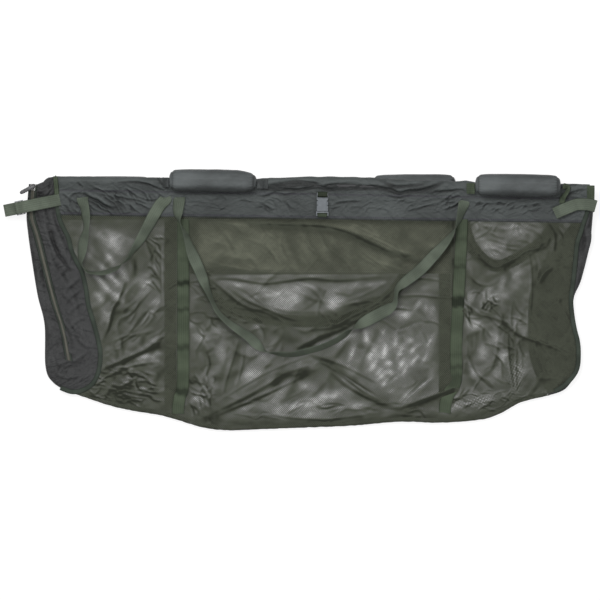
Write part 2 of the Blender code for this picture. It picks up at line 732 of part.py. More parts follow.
tape_x = 0.9788
TAPE_W = 0.0156
tape_rows = (0.8766, 0.8674, 0.8544, 0.8352, 0.8161, 0.7969, 0.7778, 0.7433)
end_tape = over_front([(tape_x, v) for v in tape_rows], BIND_T, GAP * 3)
ribbon("right_end_tape", end_tape, TAPE_W, BIND_T, WEB_MAT)

# Webbing straps on the panels


def on_floor(guide):
    """Centre line of webbing under the rear mesh."""
    return [(x, y, WEB_T / 2, roll) for x, y, roll in placed(guide)]


ribbon("front_strap_left", over_front(FRONT_STRAP_LEFT, WEB_T), WEB_W, WEB_T, WEB_MAT)
ribbon("front_strap_right", over_front(FRONT_STRAP_RIGHT, WEB_T), WEB_W, WEB_T, WEB_MAT)
ribbon("rear_strap_left", on_floor(REAR_STRAP_LEFT), WEB_W, WEB_T, WEB_MAT, steps=1)
ribbon("rear_strap_right", on_floor(REAR_STRAP_RIGHT), WEB_W, WEB_T, WEB_MAT, steps=1)

# Handles and side loops

LOOP_LIFT = 0.005


def raised(guide):
    """Centre line of loose webbing that lies on the front, higher where it stands on edge."""
    path = []
    points = placed(guide)
    last = len(points) - 1
    for i, (x, y, roll) in enumerate(points):
        if i in (0, last):
            path.append((x, y, front_top(x, y) + GAP + WEB_T / 2, surface_roll(points, i)))
            continue
        edge = WEB_W / 2 * abs(math.sin(math.radians(roll)))
        lift = LOOP_LIFT * (0.6 if i in (1, last - 1) else 1.0)
        path.append((x, y, front_top(x, y) + lift - MESH_T / 2 + edge, roll))
    return path


ribbon("front_handle", raised(FRONT_HANDLE), WEB_W, WEB_T, WEB_MAT, steps=2)
ribbon("front_side_loop", raised(FRONT_SIDE_LOOP), WEB_W, WEB_T, WEB_MAT, steps=2)
ribbon("rear_handle", on_floor(REAR_HANDLE), WEB_W, WEB_T, WEB_MAT, steps=3)
ribbon("rear_side_loop", on_floor(REAR_SIDE_LOOP), WEB_W, WEB_T, WEB_MAT, steps=3)

# Floats

FLOAT_RINGS = ((1.0, 0.0), (0.998, 0.5), (0.985, 0.78), (0.95, 0.92), (0.86, 0.975),
               (0.45, 0.995), (0.0, 1.0))
FLOAT_POWER = 2.7
FLOAT_HALF_H = FLOAT_H / (1 + FLOAT_FLAT)


def pillow(name, length, inset, mat):
    """Rounded float with a flat underside, its sides moved in by the inset."""
    rings = 2 * (len(FLOAT_RINGS) - 1)
    bm = bmesh.new()
    bmesh.ops.create_uvsphere(bm, u_segments=16, v_segments=rings, radius=1.0)
    wide = FLOAT_W / 2 - inset
    tall = FLOAT_HALF_H - inset
    floor = -FLOAT_HALF_H * FLOAT_FLAT + inset
    for vert in bm.verts:
        ring = round(math.acos(max(-1.0, min(1.0, vert.co.z))) / math.pi * rings)
        along, girth = FLOAT_RINGS[min(ring, rings - ring)]
        if ring > rings / 2:
            along = -along
        angle = math.atan2(vert.co.y, vert.co.x)
        cos, sin = math.cos(angle), math.sin(angle)
        y = math.copysign(abs(cos) ** (2 / FLOAT_POWER), cos) * wide * girth
        z = math.copysign(abs(sin) ** (2 / FLOAT_POWER), sin) * tall * girth
        vert.co = Vector((along * (length / 2 - inset), y, max(z, floor)))
    return bmesh_object(name, bm, mat)


def float_pair(name, x, line, offset, z, slope, length):
    """Float cover with a sewn slit toward the sleeve, and the foam core inside it."""
    centre = Vector((x, line(x) + offset, z + FLOAT_HALF_H * FLOAT_FLAT))
    frame = Matrix.Translation(centre) @ Matrix.Rotation(math.atan(slope), 4, "Z")
    cover = pillow(f"{name}_cover", length, 0.0, FLOAT_MAT)
    core = pillow(f"{name}_core", length, CLOTH_T + GAP, FOAM_MAT)
    hollow = as_cutter(pillow(f"{name}_hollow", length, CLOTH_T, FOAM_MAT))
    low = (-length * 0.3, -FLOAT_W, -FLOAT_HALF_H * 0.4 - FLOAT_SLIT)
    high = (length * 0.3, -FLOAT_W * 0.3, -FLOAT_HALF_H * 0.4)
    slit = as_cutter(box(f"{name}_slit", low, high, FOAM_MAT))
    for obj in (cover, core, hollow, slit):
        obj.matrix_world = frame
    combine(cover, hollow)
    combine(cover, slit)
    return centre


rear_float_offset = SLEEVE_R + 0.001 + FLOAT_W / 2
front_float_z = FRONT_POLE_Z + SLEEVE_R + GAP * 2
rear_left = float_pair("rear_float_left", REAR_FLOAT_LEFT_X, rear_line, rear_float_offset, 0.0,
                       REAR_SLOPE, REAR_FLOAT_L)
rear_right = float_pair("rear_float_right", REAR_FLOAT_RIGHT_X, rear_line, rear_float_offset, 0.0,
                        REAR_SLOPE, REAR_FLOAT_L)
front_left = float_pair("front_float_left", FRONT_FLOAT_LEFT_X, front_line, FLOAT_SHIFT,
                        front_float_z, FRONT_SLOPE, FRONT_FLOAT_LEFT_L)
front_right = float_pair("front_float_right", FRONT_FLOAT_RIGHT_X, front_line, FLOAT_SHIFT,
                         front_float_z, FRONT_SLOPE, FRONT_FLOAT_RIGHT_L)

tab_z = REAR_POLE_Z + SLEEVE_R + GAP * 2 + WEB_T / 2
tab_number = 0
for centre in (rear_left, rear_right):
    for way in (-1, 1):
        x = centre.x + way * (REAR_FLOAT_L / 2 + GAP + TAB_W / 2)
        path = [(x, rear_line(x) - POLE_D / 2, tab_z, 0.0), (x, centre.y - 0.01, tab_z, 0.0),
                (x, centre.y + 0.008, tab_z, 0.0)]
        tab_number += 1
        ribbon(f"rear_float_tab_{tab_number}", path, TAB_W, WEB_T, WEB_MAT, steps=1)


def front_tab(name, centre, length, way, reach, width, mat):
    """Tab that slopes from the end of a front float down to the sleeve."""
    start = centre.x + way * (length / 2 + 0.001)
    top = centre.z - 0.004
    low = front_float_z + WEB_T
    path = []
    for share, drop in ((0.0, 0.0), (0.35, 0.25), (0.7, 0.75), (1.0, 1.0)):
        x = start + way * reach * share
        path.append((x, front_line(x) + 0.002, lerp(top, low, drop), 0.0))
    return ribbon(name, path, width, WEB_T, mat, steps=1, side=Vector((0, 1, 0)))


front_tab("front_float_tab_1", front_left, FRONT_FLOAT_LEFT_L, -1, 0.012, 0.028, NYLON_MAT)
front_tab("front_float_tab_2", front_left, FRONT_FLOAT_LEFT_L, 1, 0.022, 0.028, NYLON_MAT)
front_tab("front_float_tab_3", front_right, FRONT_FLOAT_RIGHT_L, -1, 0.016, WEB_W, WEB_MAT)
tail_z = (front_right.z - 0.006, front_right.z - 0.016, front_float_z + 0.0055,
          front_float_z + 0.002, FRONT_POLE_Z + 0.0050, FRONT_POLE_Z + 0.0022)
tab_tail = []
for i, (reach, rise, roll) in enumerate(TAB_TAIL):
    x = front_right.x + FRONT_FLOAT_RIGHT_L / 2 + reach
    tab_tail.append((x, front_line(x) + rise, tail_z[i], roll))
ribbon("front_float_tab_4", tab_tail, 0.012, WEB_T, WEB_MAT, steps=2)

# Zip on the left gusset


def zip_point(station, offset, lift):
    """Point over the zip line, moved across by an offset and off the gusset by a lift."""
    place = curve_at(ZIP_LINE, station)
    front = curve_at(LEFT_FRONT_M, place[0])
    fold = curve_at(LEFT_FOLD_M, place[0])
    width = math.dist(front, fold)

    def on(shift, slide=0.0):
        share = min(max(place[1] + (offset + shift) / width, 0.0), 0.999)
        turn = math.asin(share ** (GUSSET_POWER / 2)) / math.pi
        return gusset_point(LEFT_GUIDES, place[0] + slide, turn)

    here = on(0.0)
    normal = (on(-0.002) - on(0.002)).cross(on(0.0, 0.05) - on(0.0, -0.05))
    if normal.z < 0:
        normal.negate()
    return here + normal.normalized() * lift


def zip_band(name, width, lift, thickness, across, mat):
    """Band along the zip line."""
    def point(s, t):
        return zip_point(t * (len(ZIP_LINE) - 1), (s - 0.5) * width, lift)
    return sheet(name, across, 26, point, thickness, mat, even=False)


tape_lift = MESH_T / 2 + GAP + ZIP_T / 2
teeth_lift = tape_lift + ZIP_T / 2 + GAP + TEETH_T / 2
zip_band("zip_tape", ZIP_W, tape_lift, ZIP_T, 4, BIND_MAT)
zip_band("zip_teeth", TEETH_W, teeth_lift, TEETH_T, 2, ZIP_MAT)

slider_base = zip_point(0.12, 0.0, teeth_lift + TEETH_T / 2 + GAP * 2)
slider_run = (zip_point(0.4, 0.0, 0.0) - zip_point(0.0, 0.0, 0.0)).normalized()
slider_up = (zip_point(0.12, 0.0, 0.01) - zip_point(0.12, 0.0, 0.0)).normalized()
slider_side = slider_up.cross(slider_run).normalized()
slider_up = slider_run.cross(slider_side).normalized()
slider_frame = Matrix((slider_side, slider_run, slider_up)).transposed().to_4x4()
slider_frame.translation = slider_base
slider = box("zip_slider", (-0.0058, -0.006, 0.0), (0.0058, 0.006, 0.0022), SLIDER_MAT, 0.0007,
             slider_frame)
bridge = as_cutter(box("slider_bridge", (-0.0014, -0.0044, 0.0015), (0.0014, 0.0044, 0.0044),
                       SLIDER_MAT, 0.0, slider_frame))
bridge_hole = as_cutter(box("slider_hole", (-0.004, -0.0026, 0.0022), (0.004, 0.0026, 0.0034),
                            SLIDER_MAT, 0.0, slider_frame))
combine(slider, bridge, "UNION")
combine(slider, bridge_hole)

PULLER_L = 0.0355
PULLER_W = 0.0085
PULLER_T = 0.0030
PULLER_BACK = 0.009
PULLER_DROP = -0.05
puller_at = slider_frame @ Vector((0.0, 0.0, 0.0078))
puller_goal = plan(PULLER_END)
puller_run = Vector((puller_goal.x - puller_at.x, puller_goal.y - puller_at.y, 0.0)).normalized()
puller_run = (puller_run - Vector((0, 0, PULLER_DROP))).normalized()
puller_side = puller_run.cross(Vector((0, 0, 1))).normalized()
puller_up = puller_side.cross(puller_run)
puller_frame = Matrix((puller_side, puller_run, puller_up)).transposed().to_4x4()
puller_frame.translation = puller_at
puller = box("zip_puller", (-PULLER_W / 2, -PULLER_BACK, -PULLER_T / 2),
             (PULLER_W / 2, PULLER_L - PULLER_BACK, PULLER_T / 2), RUBBER_MAT, 0.0009, puller_frame)
for i in range(5):
    y = 0.008 + i * 0.0036
    groove = box(f"puller_groove_{i}", (-PULLER_W, y, PULLER_T / 2 - 0.0006),
                 (PULLER_W, y + 0.0014, PULLER_T), RUBBER_MAT, 0.0, puller_frame)
    combine(puller, as_cutter(groove))

# End strap, tri-glide and tail on the left

strap_start = plan(LEFT_STRAP_START)
strap_end = plan(LEFT_STRAP_END)
strap_run = Vector((strap_end.x - strap_start.x, strap_end.y - strap_start.y, 0.0))
strap_reach = strap_run.length
strap_run.normalize()
strap_side = Vector((-strap_run.y, strap_run.x, 0.0))
strap_base_z = front_top(strap_start.x, strap_start.y + WEB_W / 2) + BIND_T + GAP * 3 + WEB_T / 2
STRAP_PROFILE = ((0.0, 0.0), (0.10, 0.0), (0.20, 0.0020), (0.28, 0.0044), (0.36, 0.0058),
                 (0.55, 0.0070), (0.75, 0.0072), (0.92, 0.0068), (0.985, 0.0062),
                 (1.0, 0.0018), (0.985, -0.0025), (0.93, -0.0029), (0.85, -0.0029))


def strap_point(share, drop):
    """Point of the end strap from its share of the reach and its height over the start."""
    return (strap_start.x + strap_run.x * strap_reach * share,
            strap_start.y + strap_run.y * strap_reach * share, strap_base_z + drop, 0.0)


strap_path = [strap_point(*p) for p in STRAP_PROFILE]
ribbon("left_end_strap", strap_path, WEB_W, WEB_T, WEB_MAT, steps=2, side=strap_side)
TAIL_DROP = -0.0075
tail_reach = (plan(TAIL_END).x - strap_start.x) / strap_run.x / strap_reach
tail_path = [strap_point(share, TAIL_DROP) for share in
             (0.80, 0.88, 0.96, lerp(0.96, tail_reach, 0.5), tail_reach)]
ribbon("left_strap_tail", tail_path, WEB_W, WEB_T, WEB_MAT, steps=1, side=strap_side)

glide_centre = strap_point(0.905, TAIL_DROP)
glide_frame = Matrix((strap_run, strap_side, Vector((0, 0, 1)))).transposed().to_4x4()
glide_frame.translation = Vector(glide_centre[:3])
GLIDE_BAR = 0.0027
GLIDE_RAIL = 0.0016
glide_top = WEB_T / 2 + GAP * 2 + 0.0020
glide_low = -WEB_T / 2 - GAP * 2 - 0.0020
glide = box("left_triglide", (-GLIDE_L / 2, -GLIDE_W / 2, glide_low),
            (GLIDE_L / 2, GLIDE_W / 2, glide_top), PLASTIC_MAT, 0.0, glide_frame)
inner = GLIDE_W / 2 - GLIDE_RAIL
combine(glide, as_cutter(box("glide_window", (-GLIDE_L / 2 + GLIDE_BAR, -inner, -0.01),
                             (GLIDE_L / 2 - GLIDE_BAR, inner, 0.01), PLASTIC_MAT, 0.0, glide_frame)))
combine(glide, as_cutter(box("glide_under", (-GLIDE_L, -inner, -0.01),
                             (GLIDE_L, inner, WEB_T / 2 + GAP * 2), PLASTIC_MAT, 0.0, glide_frame)))
combine(glide, as_cutter(box("glide_bar", (-GLIDE_BAR / 2, -inner - 0.001, glide_low),
                             (GLIDE_BAR / 2, inner + 0.001, glide_low + 0.0020), PLASTIC_MAT, 0.0,
                             glide_frame)), "UNION")

# End strap on the right: a base sewn over the tape, and a flap folded back over it

flap_points = placed(RIGHT_FLAP)
flap_base_z = front_top(flap_points[1][0], flap_points[1][1] + WEB_W / 2) + BIND_T * 2 + GAP * 3
flap_base = [(x, y, flap_base_z + WEB_T / 2, 0.0) for x, y, roll in flap_points[:3]]
ribbon("right_strap_base", flap_base, WEB_W, WEB_T, WEB_MAT, steps=2)
flap_z = flap_base_z + WEB_T * 1.5 + GAP * 2
flap_path = [(x, y, flap_z, 0.0) for x, y, roll in flap_points]
ribbon("right_end_strap", flap_path, WEB_W, WEB_T, WEB_MAT, steps=2)

# Side release buckle in its own frame: y runs up the collar, the closed buckle hangs down it

buckle_x = BUCKLE_X
buckle_at = Vector((buckle_x, front_line(buckle_x) + SLEEVE_R - SLEEVE_W - BUCKLE_DOWN))
BUCKLE_LIFT = BUCKLE_T / 2 + WEB_T + GAP
buckle_frame = Matrix.Translation((buckle_at.x, buckle_at.y,
                                   front_z(buckle_at.x, buckle_at.y) + BUCKLE_LIFT))
buckle_frame = buckle_frame @ Matrix.Rotation(math.atan(FRONT_SLOPE), 4, "Z")
buckle_frame = buckle_frame @ Matrix.Rotation(BUCKLE_TILT, 4, "X")
HALF_W = BUCKLE_W / 2
HALF_T = BUCKLE_T / 2
PLATE = 0.0018
female = box("buckle_female", (-HALF_W + 0.0012, -0.0365, -HALF_T),
             (HALF_W - 0.0012, 0.0018, HALF_T), PLASTIC_MAT, 0.0012, buckle_frame)
female_cuts = (
    ("slot", (-0.0108, -0.0082, -0.01), (0.0108, -0.0032, 0.01)),
    ("cavity", (-0.03, -0.0380, -HALF_T + PLATE), (0.03, -0.0125, HALF_T - PLATE)),
    ("bar_top", (-0.03, -0.0095, 0.0018), (0.03, 0.01, 0.01)),
    ("bar_low", (-0.03, -0.0095, -0.01), (0.03, 0.01, -0.0018)),
)
for name, low, high in female_cuts:
    combine(female, as_cutter(box(f"female_{name}", low, high, PLASTIC_MAT, 0.0, buckle_frame)))
WAIST_R = 0.0082
for way in (-1, 1):
    bm = bmesh.new()
    bmesh.ops.create_cone(bm, cap_ends=True, segments=20, radius1=WAIST_R, radius2=WAIST_R,
                          depth=0.03, matrix=Matrix.Translation((way * 0.0158, -0.0190, 0.0)))
    waist = as_cutter(bmesh_object(f"female_waist_{way + 1}", bm, PLASTIC_MAT))
    waist.matrix_world = buckle_frame
    combine(female, waist)

male = box("buckle_male", (-HALF_W, -0.0462, -HALF_T + 0.001), (HALF_W, -0.0372, HALF_T - 0.001),
           PLASTIC_MAT, 0.001, buckle_frame)
combine(male, as_cutter(box("male_slot", (-0.0105, -0.0438, -0.01), (0.0105, -0.0396, 0.01),
                            PLASTIC_MAT, 0.0, buckle_frame)))
combine(male, as_cutter(box("male_tongue", (-0.0018, -0.0380, -0.0018), (0.0018, -0.0150, 0.0018),
                            PLASTIC_MAT, 0.0, buckle_frame)), "UNION")
for name, way in (("prong_left", -1), ("prong_right", 1)):
    low_x, high_x = sorted((way * 0.0046, way * 0.0074))
    prong = box(name, (low_x, -0.0369, -0.0023), (high_x, -0.0160, 0.0023), PLASTIC_MAT, 0.0006,
                buckle_frame)
    low_x, high_x = sorted((way * 0.0066, way * 0.0116))
    head = box(f"{name}_head", (low_x, -0.0232, -0.0023), (high_x, -0.0160, 0.0023),
               PLASTIC_MAT, 0.0, buckle_frame)
    combine(prong, as_cutter(head), "UNION")


def wrap_path(points):
    """Webbing path in the buckle's own frame, as world centre line points."""
    return [(*(buckle_frame @ Vector((0.0, y, z))), 0.0) for y, z in points]


buckle_side = (buckle_frame.to_3x3() @ Vector((1, 0, 0))).normalized()
LOOP_T = 0.0012
female_wrap = ((-0.0230, -0.0057), (-0.0120, -0.0057), (-0.0085, -0.0054), (-0.0056, 0.0),
               (-0.0050, 0.0026), (-0.0030, 0.0031), (0.0010, 0.0031), (0.0030, 0.0016),
               (0.0031, -0.0018), (0.0010, -0.0040), (-0.0018, -0.0040))
ribbon("buckle_female_loop", wrap_path(female_wrap), 0.0200, LOOP_T, WEB_MAT, steps=1,
       side=buckle_side)
male_wrap = ((-0.0300, -0.0060), (-0.0360, -0.0061), (-0.0430, -0.0058), (-0.0466, -0.0050),
             (-0.0482, -0.0020), (-0.0482, 0.0020), (-0.0468, 0.0046), (-0.0440, 0.0049),
             (-0.0418, 0.0036), (-0.0412, 0.0005), (-0.0412, -0.0022))
ribbon("buckle_male_loop", wrap_path(male_wrap), 0.0196, LOOP_T, WEB_MAT, steps=1,
       side=buckle_side)
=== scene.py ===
"""Looks of the floating recovery sling: net, wrinkled nylon, webbing, padded floats and fittings.

Plan places are written in pixels of a 600 x 600 view from straight above, one pixel being K metres.
"""

import math

import bmesh
import bpy
import numpy as np
from mathutils import Matrix, Vector, noise


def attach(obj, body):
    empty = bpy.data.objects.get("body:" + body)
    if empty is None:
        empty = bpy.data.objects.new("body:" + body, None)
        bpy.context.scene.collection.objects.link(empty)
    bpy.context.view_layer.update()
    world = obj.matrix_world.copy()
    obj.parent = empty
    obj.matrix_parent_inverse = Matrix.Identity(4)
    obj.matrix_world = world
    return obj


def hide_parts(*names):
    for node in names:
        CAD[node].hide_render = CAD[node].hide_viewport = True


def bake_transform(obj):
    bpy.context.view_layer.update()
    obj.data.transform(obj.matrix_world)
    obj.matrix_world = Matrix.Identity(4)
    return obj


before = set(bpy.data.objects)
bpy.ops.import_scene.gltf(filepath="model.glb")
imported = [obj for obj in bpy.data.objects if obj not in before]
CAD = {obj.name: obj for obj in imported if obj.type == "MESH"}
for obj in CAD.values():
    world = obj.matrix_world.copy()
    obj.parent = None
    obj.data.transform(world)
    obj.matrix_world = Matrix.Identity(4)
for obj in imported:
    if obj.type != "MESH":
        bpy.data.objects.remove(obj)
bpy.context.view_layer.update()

# The plan: metres in a pixel, and the pixel in the middle of the view
K = 0.00205
MID = 300

# Sizes and heights in metres, as in the solids
GAP = 0.0003
EASE = 0.0006
CLOTH_T = 0.0008
MESH_T = 0.0010
TAPE_T = 0.0012
BIND_W = 0.0095
BIND_T = 0.0014
SEAM_T = 0.0009
WEB_W = 0.025
WEB_T = 0.0016
SLEEVE_W = 0.027
BAND_W = 0.0533
REAR_BAND_W = 0.014
STITCH_ROW = 0.0535
SLEEVE_R = 0.0091
REAR_Z = 0.0024
REAR_POLE_Z = 0.0094
POLE_Z = 0.0497
LOW_Z = 0.017
RAMP = 0.26
LINE_Y = 0.23774
SLOPE = -0.0152
REAR_LINE_Y = 0.19968
REAR_SLOPE = 0.0069
STITCH = SLEEVE_R - SLEEVE_W
FRONT_HEM = STITCH - BAND_W
REAR_HEM = STITCH - REAR_BAND_W
LAP = 0.004
ABOVE_NET = 0.0012
INSET = 0.010
ZIP_HALF = 0.0080
# X near the left and the right end of the hems
HEM_ENDS = (-0.49, 0.58)
# Keeps a division from being by zero
NOTHING = 1e-9

# Guides over the plan in pixels: sides from the mouth down, the base from left to right
LEFT_FRONT = [(56, 175), (57.5, 192), (58, 215), (66, 237), (79, 267), (90, 312), (100, 350), (98, 372),
              (90, 386), (74, 393)]
LEFT_FOLD = [(28.5, 184), (27.5, 195), (26, 215), (27.5, 233), (31, 258), (37, 295), (44, 325), (45, 367),
             (53, 383), (71, 393.5)]
LEFT_REAR = [(46, 196), (46, 203), (44.5, 217), (45, 233), (46, 258), (48, 295), (51, 325), (53, 362),
             (60, 383), (73, 391)]
RIGHT_FRONT = [(590, 186), (589, 199), (587, 213), (580.5, 230), (575.5, 250), (573, 278), (571.5, 298),
               (575, 329), (579, 353), (578, 368), (565, 387), (548, 394)]
RIGHT_FOLD = [(594, 190), (594, 205), (593, 219), (592, 231), (591, 243), (582, 279), (574, 300),
              (576.5, 329), (580.5, 353), (579.5, 368), (566.5, 388.5), (549.5, 395.5)]
RIGHT_REAR = [(583, 197), (583, 203), (579, 217), (570, 230), (556, 250), (540, 275), (532, 298), (531, 329),
              (532, 353), (536, 368), (542, 384), (547, 391)]
BASE_FOLD = [(77, 395), (89, 399), (107, 405), (130, 410.5), (160, 415.5), (180, 421), (200, 427),
             (225, 430.5), (260, 429.5), (300, 428), (350, 426), (400, 422), (440, 423), (480, 420),
             (500, 414), (520, 403), (543, 397)]
LEFT_GUIDES = (LEFT_FRONT, LEFT_FOLD, LEFT_REAR)
RIGHT_GUIDES = (RIGHT_FRONT, RIGHT_FOLD, RIGHT_REAR)
# Corners where the base's net runs on under the gussets
BASE_LEFT, BASE_RIGHT = (71.5, 393.2), (550, 395.4)
# Zip on the left gusset: station along it, share of the way out to its fold
ZIP_LINE = [(0.5, 0.80), (1.0, 0.817), (2.0, 0.83), (3.0, 0.76), (4.0, 0.744), (5.0, 0.69), (6.0, 0.65),
            (6.7, 0.56)]

# Curves and heights, as in the solids


def metres(points):
    """Pixels of the plan to metres, with any further values kept."""
    return [((p[0] - MID) * K, (MID - p[1]) * K, *p[2:]) for p in points]


def pixels(x, y):
    """Metres to pixels of the plan."""
    return x / K + MID, MID - y / K


def unit(vectors):
    """Vectors of length 1."""
    return vectors / np.maximum(np.linalg.norm(vectors, axis=-1), NOTHING)[..., None]


def walked(points):
    """Distance along a line of points, from 0."""
    return np.concatenate(([0.0], np.cumsum(np.linalg.norm(np.diff(points, axis=0), axis=1))))


def spline(points, stations):
    """Catmull-Rom curve through the points at stations counted in points."""
    p = np.asarray(points, float)
    last = len(p) - 1
    s = np.clip(np.asarray(stations, float), 0, last)
    i = np.minimum(s.astype(int), last - 1)
    t = (s - i)[..., None]
    a, b, c, d = p[np.maximum(i - 1, 0)], p[i], p[i + 1], p[np.minimum(i + 2, last)]
    return 0.5 * (2 * b + (c - a) * t + (2 * a - 5 * b + 4 * c - d) * t * t
                  + (3 * b - 3 * c + d - a) * t ** 3)


def even(points, count):
    """Points at an even pace along the smooth curve."""
    last = len(points) - 1
    dense = spline(points, np.linspace(0, last, 12 * last + 1))
    reach = walked(dense[:, :2])
    goal = np.linspace(0, reach[-1], count)
    return np.stack([np.interp(goal, reach, dense[:, k]) for k in range(dense.shape[1])], 1)


def front_line(x):
    """Y of the front pole's axis."""
    return LINE_Y + SLOPE * x


def rear_line(x):
    """Y of the rear pole's axis."""
    return REAR_LINE_Y + REAR_SLOPE * x


def front_z(x, y):
    """Mid height of the front panel."""
    share = np.clip((front_line(x) + STITCH - y) / RAMP, 0, 1)
    return LOW_Z + (POLE_Z - LOW_Z) * (1 - share) ** 2


def front_top(x, y):
    """Height of the front's upper surface, over sleeve, band and net."""
    rise = y - front_line(x)
    if rise <= STITCH:
        return float(front_z(x, y)) + MESH_T / 2
    low = (STITCH, CLOTH_T + GAP)
    touch = math.atan2(low[1], low[0]) - math.acos(SLEEVE_R / math.hypot(*low))
    edge = SLEEVE_R * math.cos(touch)
    if rise < edge:
        share = (rise - STITCH) / (edge - STITCH)
        return POLE_Z + low[1] + (SLEEVE_R * math.sin(touch) - low[1]) * share
    return POLE_Z + math.sqrt(max(SLEEVE_R ** 2 - min(rise, SLEEVE_R) ** 2, 0.0))


def rough(x, y, size, seed, octaves=3):
    """Smooth noise of about -1 to 1 over arrays of plan points."""
    flat = [noise.fractal(Vector((a / size, b / size, seed)), 0.9, 2.1, octaves)
            for a, b in zip(np.ravel(x), np.ravel(y))]
    return np.reshape(flat, np.shape(x))


def creases(u, v, turn, size, ratio, seed, sharp):
    """Broken lines of 1 along a direction turned by degrees, size long and size x ratio apart."""
    c, s = math.cos(math.radians(turn)), math.sin(math.radians(turn))
    line = rough(u * c + v * s, (v * c - u * s) / ratio, size, seed, 2)
    keep = rough(u, v, size * 1.3, seed + 5.0, 2)
    return np.clip(1 - np.abs(line) / sharp, 0, 1) ** 1.5 * np.clip(keep * 2.4 + 0.3, 0, 1)


def drawn(x, y, lines):
    """Creases on the plan from (points, strength, width) in pixels, as painted shade: 1 on the line, with a
    painted light strip beside it on the lamp's side.
    """
    px, py = pixels(np.ravel(x), np.ravel(y))
    total = np.zeros(px.shape)
    for points, strength, width in lines:
        line = even(points, 3 * len(points) + 6)[:, :2]
        low, high = line.min(0) - 4 * width, line.max(0) + 4 * width
        hit = np.flatnonzero((px > low[0]) & (px < high[0]) & (py > low[1]) & (py < high[1]))
        if not len(hit):
            continue
        run = np.diff(line, axis=0)
        spot = np.stack((px[hit], py[hit]), 1)[:, None] - line[None, :-1]
        t = np.clip((spot * run).sum(-1) / (run * run).sum(-1), 0, 1)
        away = spot - t[..., None] * run
        size = (away ** 2).sum(-1)
        best = size.argmin(1)
        each = np.arange(len(hit))
        normal = np.stack((run[best, 1], -run[best, 0]), 1)
        # The painted light strip goes on the side that faces up and left on the plan, toward the key lamp
        normal *= np.where(normal @ (-0.5, -0.86) < 0, -1, 1)[:, None]
        reach = np.sqrt(size[each, best]) * np.sign((away[each, best] * normal).sum(-1))
        taper = np.clip(np.sin(math.pi * (best + t[each, best]) / len(run)), 0, 1) ** 0.6
        lit = np.exp(-((reach - 1.9 * width) / (1.1 * width)) ** 2)
        total[hit] += strength * taper * (np.exp(-(reach / width) ** 2) - 0.6 * lit)
    return total.reshape(np.shape(x))


def strokes(rows, values=2):
    """Rows of a few values and then x, y, x, y, ... as ((x, y) points, *values)."""
    return [(tuple(zip(row[values::2], row[values + 1::2])), *row[:values]) for row in rows]


def scatter(zones):
    """Small seeded creases in zones, each a row like those of ZONES."""
    lines = []
    for seed, px, py, wide, tall, count, angle, spread, length, strength, width in zones:
        pick = np.random.default_rng(seed)
        for _ in range(count):
            turn = math.radians(angle + pick.normal() * spread)
            c, s = math.cos(turn), math.sin(turn)
            cx, cy = px + pick.uniform(-wide, wide), py + pick.uniform(-tall, tall)
            half, bow = length * pick.uniform(0.3, 0.7), pick.normal() * 0.12 * length
            ends = (cx - c * half, cy - s * half), (cx + c * half, cy + s * half)
            line = (ends[0], (cx - s * bow, cy + c * bow), ends[1])
            lines.append((line, strength * pick.uniform(0.5, 1.2), width * pick.uniform(0.7, 1.3)))
    return lines


def near(x, y, points, width):
    """Bell of 1 on a smooth plan line (pixels) that fades over the width (pixels)."""
    line = even(metres(points), max(12, 5 * len(points)))
    best = np.full(np.shape(x), 1e9)
    for a, b in zip(line, line[1:]):
        run = b - a
        t = np.clip(((x - a[0]) * run[0] + (y - a[1]) * run[1]) / (run @ run), 0, 1)
        best = np.minimum(best, (x - a[0] - t * run[0]) ** 2 + (y - a[1] - t * run[1]) ** 2)
    return np.exp(-best / (width * K) ** 2)


def blob(x, y, px, py, wide, tall, turn):
    """Soft spot of 1 at a pixel, with its half width and half height in pixels."""
    here, there = pixels(x, y)
    dx, dy = here - px, there - py
    c, s = math.cos(math.radians(turn)), math.sin(math.radians(turn))
    return np.exp(-(((dx * c + dy * s) / wide) ** 2 + ((dy * c - dx * s) / tall) ** 2))


def spots(x, y, rows, start=0):
    """Sum of soft spots given as (x, y, half width, half height, turn, strength)."""
    return sum((blob(x, y, *row[:5]) * row[5] for row in rows), start)


def by_the_ends(t):
    """1 over a length that t runs along from 0 to 1, falling to 0.2 at both of its ends."""
    return np.clip(np.minimum(t, 1 - t) / 0.06 * 0.8 + 0.2, 0, 1)


# Pieces


def stacked(*parts):
    """Arrays of one shape, or of shapes that widen to it, as the last axis of a new one."""
    return np.stack(np.broadcast_arrays(*parts), -1)


def placed(name, data):
    """New object in the scene."""
    obj = bpy.data.objects.new(name, data)
    bpy.context.scene.collection.objects.link(obj)
    return obj


def piece(name, verts, faces, mat, uv=None, values=None):
    """Mesh object with UVs per point and named float attributes."""
    mesh = bpy.data.meshes.new(name)
    mesh.from_pydata(verts.tolist(), [], faces.tolist())
    mesh.materials.append(mat)
    if uv is not None:
        layer = mesh.uv_layers.new(name="cloth")
        corner = np.empty(len(mesh.loops), np.int32)
        mesh.loops.foreach_get("vertex_index", corner)
        layer.data.foreach_set("uv", np.asarray(uv, np.float32)[corner].ravel())
    for key, value in (values or {}).items():
        attribute = mesh.attributes.new(key, "FLOAT", "POINT")
        attribute.data.foreach_set("value", np.asarray(value, np.float32).ravel())
    mesh.shade_smooth()
    return placed(name, mesh)


def quads(rows, cols, wrap=False):
    """Faces of a grid of rows x cols points, closed across the columns when wrapped."""
    r = np.arange(rows - 1)[:, None]
    c = np.arange(cols if wrap else cols - 1)[None, :]
    n = (c + 1) % cols
    low, high = r * cols, (r + 1) * cols
    return stacked(low + c, low + n, high + n, high + c).reshape(-1, 4)


def reach_along(grid, axis):
    """Arc length along one axis of a grid of points."""
    step = np.linalg.norm(np.diff(grid, axis=axis), axis=-1)
    pad = [(0, 0), (0, 0)]
    pad[axis] = (1, 0)
    return np.pad(np.cumsum(step, axis=axis), pad)


